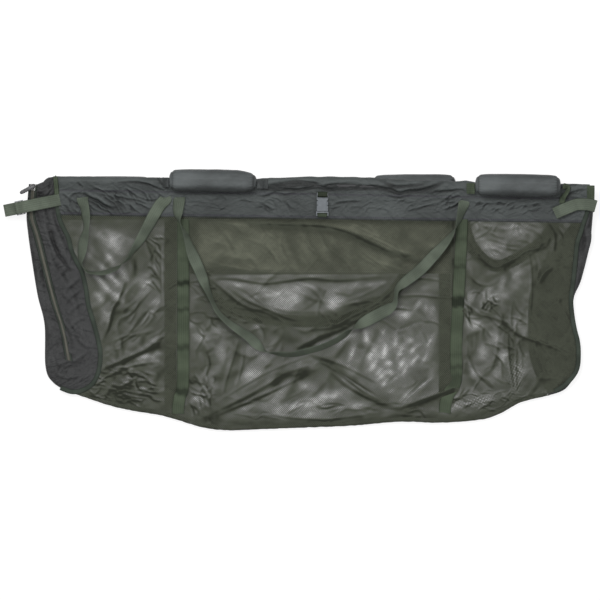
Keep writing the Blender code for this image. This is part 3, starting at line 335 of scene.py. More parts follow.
def cloth(name, grid, mat, body, nodes, values, uv=None):
    """Single skin of cloth from a grid of points, facing up."""
    rows, cols = grid.shape[:2]
    if uv is None:
        uv = grid[..., :2]
    obj = piece(name, grid.reshape(-1, 3), quads(rows, cols), mat, uv.reshape(-1, 2), values)
    return settle(obj, body, nodes)


def settle(obj, body, nodes=()):
    """Put a piece on its body and in place of its CAD nodes."""
    if body:
        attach(obj, body)
    if nodes:
        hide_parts(*nodes)
    return obj


def ribbon(name, path, width, thick, mat, body, nodes=(), side=None, pace=0.003, crown=0.0,
           marks=(), wave=0.0, across=8):
    """Webbing: a closed, rounded band along rolled centre points (x, y, z, roll).

    It is darker at marks, each the lowest and highest pixel down the plan and by how much.
    """
    count = max(8, int(sum(math.dist(a[:3], b[:3]) for a, b in zip(path, path[1:])) / pace))
    row = spline(path, np.linspace(0, len(path) - 1, count))
    run = unit(np.gradient(row[:, :3], axis=0))
    if side is None:
        flat = unit(np.stack((-run[:, 1], run[:, 0], np.zeros(count)), 1))
        roll = np.radians(row[:, 3])[:, None]
        over = flat * np.cos(roll) + np.array((0, 0, 1.0)) * np.sin(roll)
    else:
        over = np.broadcast_to(np.asarray(side, float), (count, 3))
    normal = unit(np.cross(run, over))
    s = np.linspace(-1, 1, across + 1)
    bulge = (1 - np.abs(s) ** 6 * 0.999) ** 0.5
    up = np.concatenate((bulge * (thick / 2) + crown * (1 - s * s), -bulge[::-1] * (thick / 2)))
    ring = np.concatenate((s, s[::-1]))
    reach = walked(row[:, :3])
    grid = (row[:, None, :3] + over[:, None, :] * (ring * width / 2)[None, :, None]
            + normal[:, None, :] * up[None, :, None])
    if wave:
        lift = wave * np.sin(reach / 0.011 + ring[None, :].T * 0.6).T
        grid = grid + normal[:, None, :] * lift[:, :, None]
    uv = stacked((ring * width / 2)[None, :], reach[:, None]).reshape(-1, 2)
    shade = np.zeros((count, len(ring)))
    _, py = pixels(row[:, 0, None], row[:, 1, None])
    py = py + ring[None, :] * 0.8 + 0.7 * np.sin(ring * 5 + row[:, 0, None])
    for low, high, amount in marks:
        shade += amount * np.clip((py - low + 1) / 3, 0, 1) * np.clip((high + 1 - py) / 3, 0, 1)
    obj = piece(name, grid.reshape(-1, 3), quads(count, len(ring), wrap=True), mat, uv, {"shade": shade})
    bm = bmesh.new()
    bm.from_mesh(obj.data)
    bmesh.ops.holes_fill(bm, edges=[e for e in bm.edges if e.is_boundary])
    bmesh.ops.recalc_face_normals(bm, faces=bm.faces)
    bm.to_mesh(obj.data)
    bm.free()
    return settle(obj, body, nodes)


# Materials


class Wire:
    """A number in a node tree that can be used in plain sums."""

    def __init__(self, look, socket):
        self.look, self.socket = look, socket

    def __add__(self, other):
        return self.look.calc("ADD", self, other)

    def __sub__(self, other):
        return self.look.calc("SUBTRACT", self, other)

    def __rsub__(self, other):
        return self.look.calc("SUBTRACT", other, self)

    def __mul__(self, other):
        return self.look.calc("MULTIPLY", self, other)

    def __abs__(self):
        return self.look.calc("ABSOLUTE", self)

    __radd__ = __add__
    __rmul__ = __mul__


class Look:
    """A procedural material around one Principled shader."""

    def __init__(self, name, rough_value, **sockets):
        self.mat = bpy.data.materials.new(name)
        self.mat.use_nodes = True
        self.tree = self.mat.node_tree
        self.shader = self.tree.nodes["Principled BSDF"]
        self.shader.inputs["Roughness"].default_value = rough_value
        for key, value in sockets.items():
            self.shader.inputs[key.replace("_", " ")].default_value = value

    def new(self, kind, **settings):
        """New shader node with its settings."""
        made = self.tree.nodes.new("ShaderNode" + kind)
        for key, value in settings.items():
            setattr(made, key, value)
        return made

    def put(self, socket, value):
        """Link a wire into a socket, or set the socket to a value."""
        if isinstance(value, Wire):
            self.tree.links.new(value.socket, socket)
        else:
            socket.default_value = value

    def calc(self, operation, a, b=0.0):
        made = self.new("Math", operation=operation)
        self.put(made.inputs[0], a)
        self.put(made.inputs[1], b)
        return Wire(self, made.outputs[0])

    def sine(self, value, pitch):
        """Wave of -1 to 1 that repeats at each pitch."""
        return self.calc("SINE", value * (2 * math.pi / pitch))

    def fade(self, value, low, high, start=0.0, end=1.0):
        """Smooth step from start to end while the value goes from low to high."""
        made = self.new("MapRange", interpolation_type="SMOOTHSTEP")
        for i, part in enumerate((value, low, high, start, end)):
            self.put(made.inputs[i], part)
        return Wire(self, made.outputs[0])

    def axes(self):
        """Metres across and along the cloth, and a third value without a use."""
        split = self.new("SeparateXYZ")
        self.tree.links.new(self.new("TexCoord").outputs["UV"], split.inputs[0])
        return [Wire(self, out) for out in split.outputs]

    def value(self, name):
        """Named attribute of the mesh."""
        return Wire(self, self.new("Attribute", attribute_name=name).outputs["Fac"])

    def noise(self, scale, detail, output="UV", stretch=(1, 1, 1), twist=0.0, warp=0.0):
        """Noise with its own pace along axes turned by twist degrees, in a bent domain."""
        spot = self.new("TexCoord").outputs[output]
        if warp:
            bend = self.new("TexNoise")
            bend.inputs["Scale"].default_value = scale * 0.4
            bend.inputs["Detail"].default_value = 1.0
            self.tree.links.new(spot, bend.inputs["Vector"])
            moved = self.new("VectorMath", operation="MULTIPLY_ADD")
            self.tree.links.new(bend.outputs["Color"], moved.inputs[0])
            moved.inputs[1].default_value = (warp, warp, 0)
            self.tree.links.new(spot, moved.inputs[2])
            spot = moved.outputs[0]
        move = self.new("Mapping", vector_type="TEXTURE")
        move.inputs["Scale"].default_value = tuple(1 / part for part in stretch)
        move.inputs["Rotation"].default_value = (0, 0, math.radians(twist))
        self.tree.links.new(spot, move.inputs["Vector"])
        made = self.new("TexNoise")
        made.inputs["Scale"].default_value = scale
        made.inputs["Detail"].default_value = detail
        self.tree.links.new(move.outputs[0], made.inputs["Vector"])
        return Wire(self, made.outputs["Fac"])

    def mix(self, factor, dark, light):
        """Colour between two, each a tuple or a wire."""
        made = self.new("Mix", data_type="RGBA")
        self.put(made.inputs[0], factor)
        for socket, colour in ((made.inputs[6], dark), (made.inputs[7], light)):
            self.put(socket, colour if isinstance(colour, Wire) else (*colour, 1.0))
        return Wire(self, made.outputs[2])

    def colour(self, wire):
        self.put(self.shader.inputs["Base Color"], wire)

    def bump(self, height, distance, strength, after=None):
        """Relief of the surface, on top of an earlier one where that is given."""
        made = self.new("Bump")
        made.inputs["Strength"].default_value = strength
        made.inputs["Distance"].default_value = distance
        self.put(made.inputs["Height"], height)
        if after:
            self.tree.links.new(after.outputs[0], made.inputs["Normal"])
        self.tree.links.new(made.outputs[0], self.shader.inputs["Normal"])
        return made


def scaled(colour, factor):
    """Darker or lighter form of a colour."""
    return tuple(c * factor for c in colour)


def net_look(name, colour, cover):
    """Knitted net: fine holes that let the floor through, denser where it is folded, and darker there as
    painted shade.
    """
    hole = 0.26
    look = Look(name, 0.8, Specular_IOR_Level=0.1)
    u, v, _ = look.axes()
    dense, wild = look.value("dense"), look.value("wild")
    knit = look.sine(u, 0.0041) * look.sine(v, 0.0037)
    drift = look.noise(26, 3, stretch=(0.4, 1.0, 1), twist=48, warp=0.03) - 0.5
    coarse = look.sine(u + v * 0.35, 0.0078) * look.sine(v - u * 0.35, 0.0078)
    first = look.noise(70, 2, stretch=(0.3, 1.0, 1), twist=38, warp=0.02) - 0.5
    second = look.noise(110, 2, stretch=(0.35, 1.0, 1), twist=-28, warp=0.014) - 0.5
    thin = look.fade(abs(first), 0.0, 0.02, 1.0, 0.0)
    lines = first * 0.9 + second * 0.8 + thin * 0.16
    amount = dense + drift * 0.42 + lines * wild - coarse * look.value("coarse") + cover
    alpha = look.new("MapRange", clamp=True)
    look.put(alpha.inputs[0], amount + knit * hole)
    look.put(look.shader.inputs["Alpha"], Wire(look, alpha.outputs[0]))
    tone = look.fade(look.noise(18, 3), 0.3, 0.7)
    plain = look.mix(tone, scaled(colour, 0.9), scaled(colour, 1.1))
    # Painted shade: the colour darkens where the density, painted creases and folds included, goes past 1
    look.colour(look.mix(look.fade(amount, 1.0, 1.45), plain, scaled(colour, 0.42)))
    ridge = look.bump(lines * wild, 0.005, 0.6)
    look.bump(knit, 0.0004, 0.5, after=ridge)
    return look.mat


def nylon_look(name, colour, crinkle, busy, hems=(), thread=(0.16, 0.165, 0.165), matt=0.5):
    """Thin woven nylon: plain weave, small creases with painted shade in them, uneven tone, painted shade
    and light from the shade attribute, stitched hems (row, pitch, half width).
    """
    look = Look(name, matt, Specular_IOR_Level=0.22)
    u, v, _ = look.axes()
    weave = look.sine(u, 0.0011) * look.sine(v, 0.0011)
    crease = look.noise(30, 2, stretch=(0.35, 1, 1), twist=-28, warp=0.02)
    crease = look.fade(abs(crease - 0.5), 0.0, 0.10)
    small = look.noise(80, 2, stretch=(0.4, 1, 1), twist=24, warp=0.01)
    small = look.fade(abs(small - 0.5), 0.0, 0.14)
    tone = look.fade(look.noise(9, 4), 0.25, 0.75)
    # Painted shade: darker on the small creases and where the shade attribute is above 0, lighter where it
    # is below
    level = tone * 0.7 + (crease * 0.18 + small * 0.12) * busy + 0.2 * (1 - busy) - look.value("shade")
    base = look.mix(look.fade(level, -0.4, 1.0), scaled(colour, 0.3), scaled(colour, 1.2))
    rows = None
    for row, pitch, half in hems:
        band = look.fade(abs(v - row), half * 0.5, half, 1.0, 0.0)
        dash = look.fade(look.sine(u, pitch), -0.4, 0.0)
        rows = band * dash if rows is None else rows + band * dash
    if rows is not None:
        base = look.mix(rows * 0.7, base, thread)
        weave = weave + rows * 2.0
    look.colour(base)
    first = look.bump(crease + small * 0.5, 0.0032, crinkle)
    look.bump(weave, 0.00012, 0.6, after=first)
    return look.mat


def web_look(name, colour, pitch=0.0015, lines=0.0042, half=WEB_W / 2, deep=0.0005):
    """Ribbed webbing: cross ribs, lengthwise cords, darker selvedge, worn and uneven tone."""
    look = Look(name, 0.7, Specular_IOR_Level=0.12)
    u, v, _ = look.axes()
    cords = abs(look.sine(u, lines * 2))
    ribs = look.sine(v + cords * 0.0006, pitch)
    edge = look.fade(abs(u), half - 0.0022, half - 0.0006)
    tone = look.fade(look.noise(16, 3, stretch=(1, 1.6, 1)), 0.3, 0.72)
    fuzz = look.noise(420, 2)
    level = tone * 0.45 + cords * 0.2 + ribs * 0.08 + fuzz * 0.3 - edge * 0.25
    base = look.mix(look.fade(level, 0.0, 1.0), scaled(colour, 0.62), scaled(colour, 1.3))
    look.colour(look.mix(look.value("shade"), base, scaled(colour, 0.25)))
    look.bump(ribs * 0.45 + cords * 0.55 + edge * 0.4, deep, 0.8)
    return look.mat


def hard_look(name, colour, matt, metal=0.0):
    """Moulded or metal fitting: fine grain, small scuffs and uneven gloss."""
    look = Look(name, matt, Metallic=metal)
    grain = look.noise(900, 3, "Object")
    scuff = look.fade(look.noise(120, 5, "Object", stretch=(1, 3, 1), twist=20), 0.56, 0.7)
    tone = look.fade(look.noise(60, 3, "Object"), 0.3, 0.7)
    base = look.mix(tone, scaled(colour, 0.88), scaled(colour, 1.12))
    look.colour(look.mix(scuff * 0.25, base, scaled(colour, 1.6)))
    uneven = look.fade(grain + scuff * 0.4, 0.2, 1.2, matt * 0.8, matt * 1.3)
    look.put(look.shader.inputs["Roughness"], uneven)
    look.bump(grain, 0.00008, 0.5)
    return look.mat


NET = net_look("net_front", (0.060, 0.066, 0.049), cover=0.90)
NET_REAR = net_look("net_rear", (0.062, 0.067, 0.048), cover=0.79)
COLLAR = nylon_look("nylon_collar", (0.063, 0.071, 0.070), crinkle=0.40, busy=0.35,
                    hems=((0.0050, 0.0044, 0.0016), (0.0510, 0.0034, 0.0008), (STITCH_ROW, 0.0034, 0.0008)),
                    thread=(0.040, 0.030, 0.052))
NYLON = nylon_look("nylon_plain", (0.060, 0.066, 0.066), crinkle=0.5, busy=0.6)
GUSSET = nylon_look("nylon_gusset", (0.0365, 0.0375, 0.038), crinkle=0.45, busy=0.5)
FLOAT = nylon_look("nylon_float", (0.090, 0.100, 0.101), crinkle=0.14, busy=0.3, matt=0.42)
# Painted light: the olive cloth is coloured much lighter than the real cloth, to stand in for the light that
# the front net above keeps from it
OLIVE_LIT = nylon_look("olive_panel_lit", (0.305, 0.318, 0.240), crinkle=0.2, busy=0.5,
                   hems=((0.003, 0.0034, 0.0008), (0.006, 0.0034, 0.0008)), matt=0.75)
WEB = web_look("webbing", (0.076, 0.096, 0.064))
WEB_LOOP = web_look("webbing_loop", (0.122, 0.145, 0.112))
# Painted light: a lighter copy of the webbing, for the rear side loop that lies in the nets' shade
WEB_LIT_UNDER_NETS = web_look("webbing_lit_under_nets", (0.185, 0.205, 0.160))
BIND = web_look("binding", (0.048, 0.060, 0.048), pitch=0.0012, lines=0.0020, half=BIND_W / 2, deep=0.0003)
TAPE = web_look("zip_tape", (0.050, 0.060, 0.050), pitch=0.0010, lines=0.0036, half=ZIP_HALF, deep=0.0003)
PLASTIC = hard_look("plastic", (0.135, 0.149, 0.162), matt=0.42)
RUBBER = hard_look("rubber", (0.020, 0.020, 0.022), matt=0.5)
TEETH = hard_look("zip_teeth", (0.052, 0.050, 0.036), matt=0.6)
METAL = hard_look("slider_metal", (0.30, 0.30, 0.29), matt=0.38, metal=0.9)
POLE = hard_look("pole", (0.030, 0.030, 0.032), matt=0.35)

# Fittings that are shown as the solids themselves
for mat, kept in ((POLE, ("front_pole", "rear_pole")),
                  (RUBBER, ("front_cap_left", "front_cap_right", "rear_cap_left", "rear_cap_right")),
                  (PLASTIC, ("buckle_female", "buckle_male", "prong_left", "prong_right", "left_triglide")),
                  (METAL, ("zip_slider",))):
    for node_name in kept:
        for entry in CAD[node_name].material_slots:
            entry.material = mat

# Net panels


def patch(top, bottom, left, right):
    """Grid of plan points inside four edges given as arrays of points."""
    s = np.linspace(0, 1, len(top))[None, :, None]
    t = np.linspace(0, 1, len(left))[:, None, None]
    rim = top[None] * (1 - t) + bottom[None] * t + left[:, None] * (1 - s) + right[:, None] * s
    return rim - ((top[0] * (1 - s) + top[-1] * s) * (1 - t) + (bottom[0] * (1 - s) + bottom[-1] * s) * t)


def x_on(points, y):
    """X of a side guide at heights Y, for guides that run down the plan."""
    dense = even(metres(points), 300)
    return np.interp(y, dense[::-1, 1], dense[::-1, 0])


def side(points, top_y, end, count):
    """Side edge from the hem down to the base corner."""
    dense = even(metres(points), 300)
    lower = dense[(dense[:, 1] < top_y) & (dense[:, 1] > end[1] + LAP)]
    return even([(x_on(points, top_y), top_y), *map(tuple, lower[2::12]), tuple(end)], count)


def panel_grid(line, hem, guides, span, across, along):
    """Plan grid of a net panel between hem, sides and base."""
    base = even(metres(BASE_FOLD), 400)
    t = np.linspace(*span, across)
    bottom = np.stack([np.interp(t, np.linspace(0, 1, 400), base[:, k]) for k in (0, 1)], 1)
    bottom[:, 1] += INSET * by_the_ends(t) - 0.001
    left, right = (side(guide, line(end) + hem + LAP, corner, along)
                   for guide, end, corner in zip(guides, HEM_ENDS, (bottom[0], bottom[-1])))
    x = np.linspace(left[0, 0], right[0, 0], across)
    top = np.stack((x, line(x) + hem + LAP), 1)
    grid = patch(top, bottom, left, right)
    return grid[..., 0], grid[..., 1]


# Rear side loop, which lies under both nets: x, y
REAR_SIDE_LOOP = [(464, 212), (466, 230), (472, 246), (484, 260), (498, 266), (513, 261), (528, 252),
                  (544, 240), (553, 227), (556, 212)]
# Broad folds of the front net: width in pixels, height in mm, extra density, which also darkens the net as
# painted shade, plan line x, y, ...
FOLDS = strokes((
    (4.5, 6, 0.1, 207, 417, 235, 403, 260, 392, 303, 370),
    (4.5, 5, 0.12, 313, 354, 340, 370, 370, 395, 400, 408),
    (4.5, 3, 0.1, 205, 268, 240, 276, 262, 280, 300, 279, 350, 281, 390, 277),
    (3, 3, 0.3, 250, 224, 300, 226, 340, 230, 363, 239, 386, 250, 419, 260),
    (9, -3, 0.12, 207, 285, 225, 296, 250, 312, 285, 323, 320, 326, 352, 316, 392, 292),
    (3, 2, 0.14, 300, 348, 320, 339, 341, 330, 360, 321), (3, 3, 0.08, 165, 240, 150, 262, 135, 300),
    (2.5, 3, 0.1, 134, 256, 132, 270, 128, 285, 118, 300, 110, 322, 103, 340),
    (3.5, 4, 0.14, 100, 372, 120, 362, 150, 348, 162, 340), (4, 2.5, 0.1, 104, 385, 130, 374, 158, 366),
    (3, 3, 0.14, 405, 414, 424, 401, 440, 395, 458, 389),
    (3, 3, 0.08, 470, 238, 481, 258, 496, 268, 514, 260, 529, 251, 547, 246),
    (3, 3.5, 0.06, 465, 311, 481, 315, 503, 322, 522, 337, 553, 348, 575, 359),
    (4, 3, 0.1, 540, 284, 553, 268, 560, 250), (1.6, 0, 0.4, 453, 220, 453, 300, 453, 404),
    (1.2, 0, 0.16, 189, 220, 189, 300, 188, 404),
), 3)
# Sharp creases and the shadows beside the handles, painted as shade with a painted lit side, a light line
# where the strength is negative: strength, width in pixels, plan line x, y, ...
CREASES = strokes((
    (0.3, 1.6, 209, 416, 252, 395, 285, 376, 310, 366), (0.34, 1.4, 214, 417, 262, 397, 310, 374),
    (0.2, 1.2, 209, 408, 241, 388, 274, 370, 312, 356), (0.22, 1.4, 310, 355, 342, 366, 368, 379, 378, 384),
    (0.34, 1.7, 330, 372, 345, 385, 361, 395, 380, 404, 393, 408),
    (-0.34, 0.9, 336, 371, 346, 378, 361, 388, 376, 397),
    (0.2, 1.2, 319, 362, 341, 375, 363, 392, 386, 404),
    (-0.3, 1, 390, 402, 400, 406, 410, 396, 423, 385, 434, 377),
    (0.34, 1.6, 394, 411, 424, 401, 440, 395, 459, 388),
    (0.22, 1.2, 240, 411, 252, 417, 274, 416, 296, 419, 328, 420, 363, 416, 394, 411),
    (0.26, 1.2, 207, 352, 210, 366, 203, 380), (0.26, 1.3, 240, 339, 233, 361, 226, 384, 225, 395),
    (0.18, 1.1, 245, 344, 243, 366, 236, 388), (0.22, 1.1, 198, 325, 204, 334, 200, 345, 194, 352),
    (0.24, 1, 196, 395, 206, 398, 210, 408), (0.26, 1.2, 192, 372, 200, 385, 208, 398, 211, 410),
    (0.22, 1.3, 218, 306, 241, 317, 258, 324, 265, 335, 263, 344),
    (0.26, 1.4, 229, 288, 247, 301, 267, 310, 288, 319, 306, 322),
    (0.24, 1.4, 209, 279, 225, 292, 243, 306, 270, 315, 286, 326),
    (0.16, 1.2, 225, 283, 246, 292, 262, 304, 290, 312, 330, 312),
    (0.34, 2, 310, 330, 330, 328, 354, 317, 376, 306, 392, 291),
    (0.36, 1.6, 296, 350, 319, 339, 341, 330, 359, 321),
    (0.4, 1.8, 330, 332, 343, 325, 360, 320, 378, 311, 393, 301),
    (0.16, 1.2, 330, 306, 352, 300, 372, 292, 390, 281), (0.2, 1.5, 381, 303, 392, 292, 396, 286),
    (0.28, 1.4, 207, 281, 229, 279, 263, 284, 283, 282, 310, 279, 341, 281, 385, 277),
    (-0.22, 0.9, 208, 275.5, 260, 275.5, 320, 275.5, 394, 275.5),
    (0.2, 1.3, 205, 262, 225, 267, 250, 272, 270, 273),
    (0.3, 1.5, 245, 222, 260, 224, 318, 226, 341, 230, 363, 239, 386, 250, 419, 260),
    (0.22, 1.2, 352, 232, 377, 241, 399, 252, 419, 258),
    (0.14, 1.1, 330, 222, 352, 226, 374, 236, 396, 246), (0.1, 1.4, 285, 232, 282, 245, 290, 262),
    (0.12, 1.4, 322, 232, 328, 248, 345, 262, 352, 273), (0.12, 1.6, 215, 225, 228, 240, 236, 256),
    (0.1, 1.4, 240, 238, 262, 246, 275, 258), (0.14, 1.4, 370, 262, 392, 268, 410, 274),
    (0.22, 1, 397, 281, 421, 279, 439, 281, 452, 284), (0.26, 1.1, 399, 297, 420, 296, 439, 298, 459, 298),
    (0.24, 1.1, 392, 310, 400, 309, 412, 311), (-0.24, 0.9, 392, 331, 405, 329, 415, 324, 425, 322),
    (0.22, 1, 423, 322, 432, 322, 440, 325), (0.38, 1.3, 126, 281, 120, 298, 113, 311, 109, 328, 103, 340),
    (0.28, 2.2, 134, 258, 135, 268, 134, 278), (0.26, 1.6, 148, 246, 152, 256, 150, 262),
    (0.26, 1, 152, 238, 158, 238.5, 164, 238), (-0.22, 0.8, 162.5, 240, 162, 265, 162.5, 305),
    (0.24, 1.4, 162, 282, 155, 274, 150, 268), (0.28, 1.3, 162, 296, 147, 311, 137, 324, 126, 337),
    (0.22, 1.2, 152, 290, 141, 302, 130, 315, 115, 328), (0.26, 1.4, 166, 291, 175, 285, 182, 281),
    (0.46, 1.7, 102, 370, 126, 360, 148, 350, 160, 343),
    (0.32, 1.3, 101, 378, 126, 369, 141, 365, 160, 363),
    (0.26, 1.2, 104, 380, 120, 373, 141, 376, 152, 389),
    (0.22, 1.1, 112, 392, 128, 384, 146, 382, 158, 388), (0.24, 1.1, 98, 388, 130, 393, 158, 398),
    (0.22, 1.3, 108, 345, 122, 338, 140, 335, 156, 330),
    (0.22, 1.2, 470, 238, 481, 258, 496, 268, 514, 260, 529, 251, 547, 247, 551, 230),
    (0.24, 1.3, 465, 311, 481, 315, 503, 322, 509, 328, 522, 337, 553, 348, 575, 359),
    (0.3, 1.2, 462, 300, 470, 308, 480, 315), (0.26, 1, 509, 330, 510, 359, 515, 390),
    (0.26, 1, 518, 340, 517, 372, 518, 392), (0.18, 1, 514, 300, 512, 320, 514, 334),
    (0.22, 1.2, 529, 249, 533, 277, 531, 315, 527, 337), (-0.14, 1.2, 536, 252, 540, 268, 537, 290),
    (0.36, 1.8, 540, 284, 546, 274, 554, 268), (0.24, 1.6, 548, 222, 556, 236, 554, 252),
    (0.24, 1.4, 556, 226, 563, 236, 562, 246), (-0.26, 1.4, 566, 311, 570, 318, 574, 324),
    (0.2, 1.8, 540, 350, 545, 368, 552, 380), (0.22, 1.5, 556, 392, 566, 384, 574, 372),
    (0.14, 1.2, 472, 245, 490, 240, 512, 246, 530, 240),
    (0.12, 1.3, 480, 226, 500, 231, 520, 228, 536, 232),
    (0.24, 1.3, 468, 352, 476, 372, 488, 384, 500, 392), (0.16, 1.3, 500, 330, 498, 352, 492, 372),
    (0.2, 1.3, 470, 276, 478, 284, 490, 286, 500, 280),
))
# Bright patches where the net is thin: place, half sizes and turn in pixels and degrees, lost density
PATCHES = (
    (113, 241, 13, 8, 58, 0.58), (100, 237, 8, 5, 50, 0.22), (109, 258, 9, 3.4, 52, 0.52),
    (103, 268, 7, 3, 48, 0.38), (92, 249, 6, 3, 50, 0.25), (90, 256, 6, 2.6, 50, 0.25),
    (125, 238, 8, 4, 30, 0.24), (124, 275, 9, 4, 60, 0.42), (115, 281, 12, 3.4, 45, 0.48),
    (100, 281, 8, 3, 45, 0.4), (109, 291, 11, 3.2, 45, 0.38), (118, 296, 8, 3.4, 50, 0.38),
    (100, 298, 9, 3, 45, 0.3), (104, 312, 9, 4, 60, 0.34), (145, 284, 7, 7, 0, 0.52),
    (138, 296, 10, 4, -45, 0.24), (156, 302, 8, 3, -50, 0.42), (149, 312, 9, 3, -48, 0.34),
    (147, 357, 12, 4.5, -16, 0.6), (134, 326, 8, 3, -40, 0.2), (140, 390, 9, 3, 15, 0.2),
    (86, 226, 7, 7, 0, 0.2), (283, 296, 15, 12, -25, 0.46), (296, 298, 8, 12, 20, 0.28),
    (333, 300, 8, 9, 20, 0.5), (235, 284, 18, 3, 8, 0.32), (262, 290, 14, 6, 20, 0.3),
    (250, 277, 24, 1.6, 1, 0.26), (312, 286, 24, 3.5, 2, 0.28), (350, 285, 16, 4, -8, 0.3),
    (258, 326, 4, 8, -10, 0.44), (375, 284, 14, 2.4, -10, 0.3), (405, 315, 7, 5, -10, 0.52),
    (419, 304, 6, 2.6, -50, 0.36), (426, 306, 6, 2.6, -80, 0.36), (353, 351, 10, 3, -68, 0.5),
    (366, 336, 8, 3, 85, 0.46), (371, 354, 8, 3.4, -64, 0.52), (383, 332, 6, 3, -60, 0.3),
    (385, 351, 8, 3, -78, 0.46), (396, 342, 6, 2.8, -80, 0.4), (400, 352, 8, 3, -66, 0.44),
    (411, 340, 4, 3, 0, 0.42), (413, 350, 6, 2.6, -60, 0.34), (431, 341, 8, 2.6, -55, 0.4),
    (372, 367, 6, 3, -48, 0.46), (379, 372, 6, 2.2, -45, 0.42), (389, 363, 4, 3, 0, 0.42),
    (381, 377, 6, 2.2, -42, 0.4), (402, 363, 6, 2.6, -60, 0.38), (405, 371, 6, 2.2, -55, 0.42),
    (391, 372, 4, 3, 0, 0.42), (385, 384, 4, 3, 0, 0.34), (395, 379, 6, 2, -35, 0.34),
    (391, 391, 4, 3, 0, 0.3), (415, 360, 6, 2.2, -50, 0.34), (425, 358, 7, 2.2, -60, 0.38),
    (423, 385, 9, 2, -42, 0.44), (406, 396, 9, 2, -45, 0.4), (432, 372, 6, 3, -60, 0.28),
    (432, 312, 4, 9, 0, 0.3), (345, 338, 12, 4, -22, 0.34), (322, 345, 14, 3, -24, 0.32),
    (200, 337, 6, 6, 0, 0.38), (190, 325, 5, 5, 0, 0.3), (218, 330, 8, 5, 30, 0.26),
    (222, 352, 8, 10, -10, 0.34), (252, 350, 10, 6, 0, 0.3), (265, 358, 10, 5, -20, 0.36),
    (250, 374, 12, 7, -30, 0.46), (212, 384, 5, 12, -5, 0.3), (262, 390, 9, 4, -28, 0.2),
    (305, 386, 9, 5, 0, 0.5), (278, 396, 16, 5, -28, 0.34), (330, 396, 20, 5, -14, 0.46),
    (295, 406, 22, 5, -4, 0.34), (312, 414, 14, 4, -4, 0.3), (245, 408, 8, 5, -20, 0.44),
    (352, 406, 18, 3.6, -8, 0.44), (200, 401, 7, 6, 0, 0.34), (278, 412, 6, 5, 0, 0.3),
    (470, 298, 5, 7, 0, 0.36), (476, 325, 8, 5, 20, 0.5), (492, 296, 9, 6, 0, 0.34),
    (503, 290, 5, 12, 0, 0.24), (483, 352, 6, 8, 10, 0.46), (498, 338, 8, 5, -20, 0.34),
    (504, 356, 5, 7, 10, 0.44), (474, 372, 5, 10, -20, 0.32), (497, 375, 6, 8, 0, 0.3),
    (520, 372, 8, 14, 10, 0.22), (488, 245, 14, 7, 10, 0.32), (497, 256, 10, 5, 0, 0.32),
    (515, 232, 12, 7, 0, 0.26), (536, 228, 8, 5, 0, 0.14), (516, 275, 6, 12, 5, 0.3),
    (500, 226, 20, 4, 0, 0.18), (481, 398, 22, 6, -12, 0.32), (455, 408, 14, 4, -8, 0.22),
    (520, 330, 5, 12, 0, 0.24), (132, 385, 34, 18, 12, -0.1), (120, 222, 50, 5, 0, -0.08),
    (150, 255, 10, 22, 0, -0.06), (552, 300, 16, 90, 0, -0.1), (232, 320, 22, 14, 30, -0.1),
    (210, 417, 14, 8, 0, -0.14), (425, 404, 22, 7, -15, -0.14), (530, 385, 24, 9, 0, -0.12),
    (385, 355, 46, 34, 0, 0.19), (330, 400, 50, 12, -10, 0.06), (500, 240, 30, 20, 0, 0.06),
)
# Zones of fine creases, painted as shade with a painted lit side: seed, place, half sizes, count, angle,
# spread, length, strength, width
ZONES = (
    (11, 125, 385, 32, 16, 46, 6, 24, 16, 0.26, 0.9), (12, 140, 322, 24, 26, 30, -44, 16, 22, 0.2, 1),
    (13, 205, 300, 14, 36, 26, 8, 26, 16, 0.18, 0.9), (14, 203, 396, 12, 16, 22, 40, 50, 12, 0.24, 0.8),
    (15, 300, 306, 92, 26, 46, -4, 24, 34, 0.12, 1.3), (16, 260, 372, 60, 34, 36, -40, 26, 22, 0.12, 1.2),
    (17, 400, 350, 46, 44, 26, -50, 24, 14, 0.1, 1), (18, 330, 412, 90, 8, 34, -4, 12, 22, 0.16, 0.9),
    (19, 482, 306, 18, 14, 26, 30, 50, 14, 0.24, 0.9), (20, 495, 350, 30, 40, 44, 60, 40, 18, 0.16, 1),
    (21, 505, 240, 36, 24, 36, -10, 40, 18, 0.14, 1), (22, 482, 402, 40, 9, 34, -14, 22, 16, 0.2, 0.9),
    (23, 552, 310, 16, 80, 24, 70, 40, 26, 0.1, 1.6), (24, 320, 246, 110, 24, 40, 14, 30, 30, 0.08, 1.5),
    (25, 155, 260, 8, 30, 20, 60, 40, 14, 0.2, 0.9), (26, 118, 402, 40, 8, 26, 16, 10, 16, 0.2, 0.9),
    (27, 280, 380, 90, 36, 26, -30, 36, 44, 0.13, 2.8), (28, 130, 340, 34, 70, 24, -40, 30, 34, 0.13, 2.4),
    (29, 500, 320, 40, 90, 28, 50, 50, 34, 0.12, 2.6), (30, 320, 246, 120, 24, 16, 20, 30, 50, 0.1, 3),
)
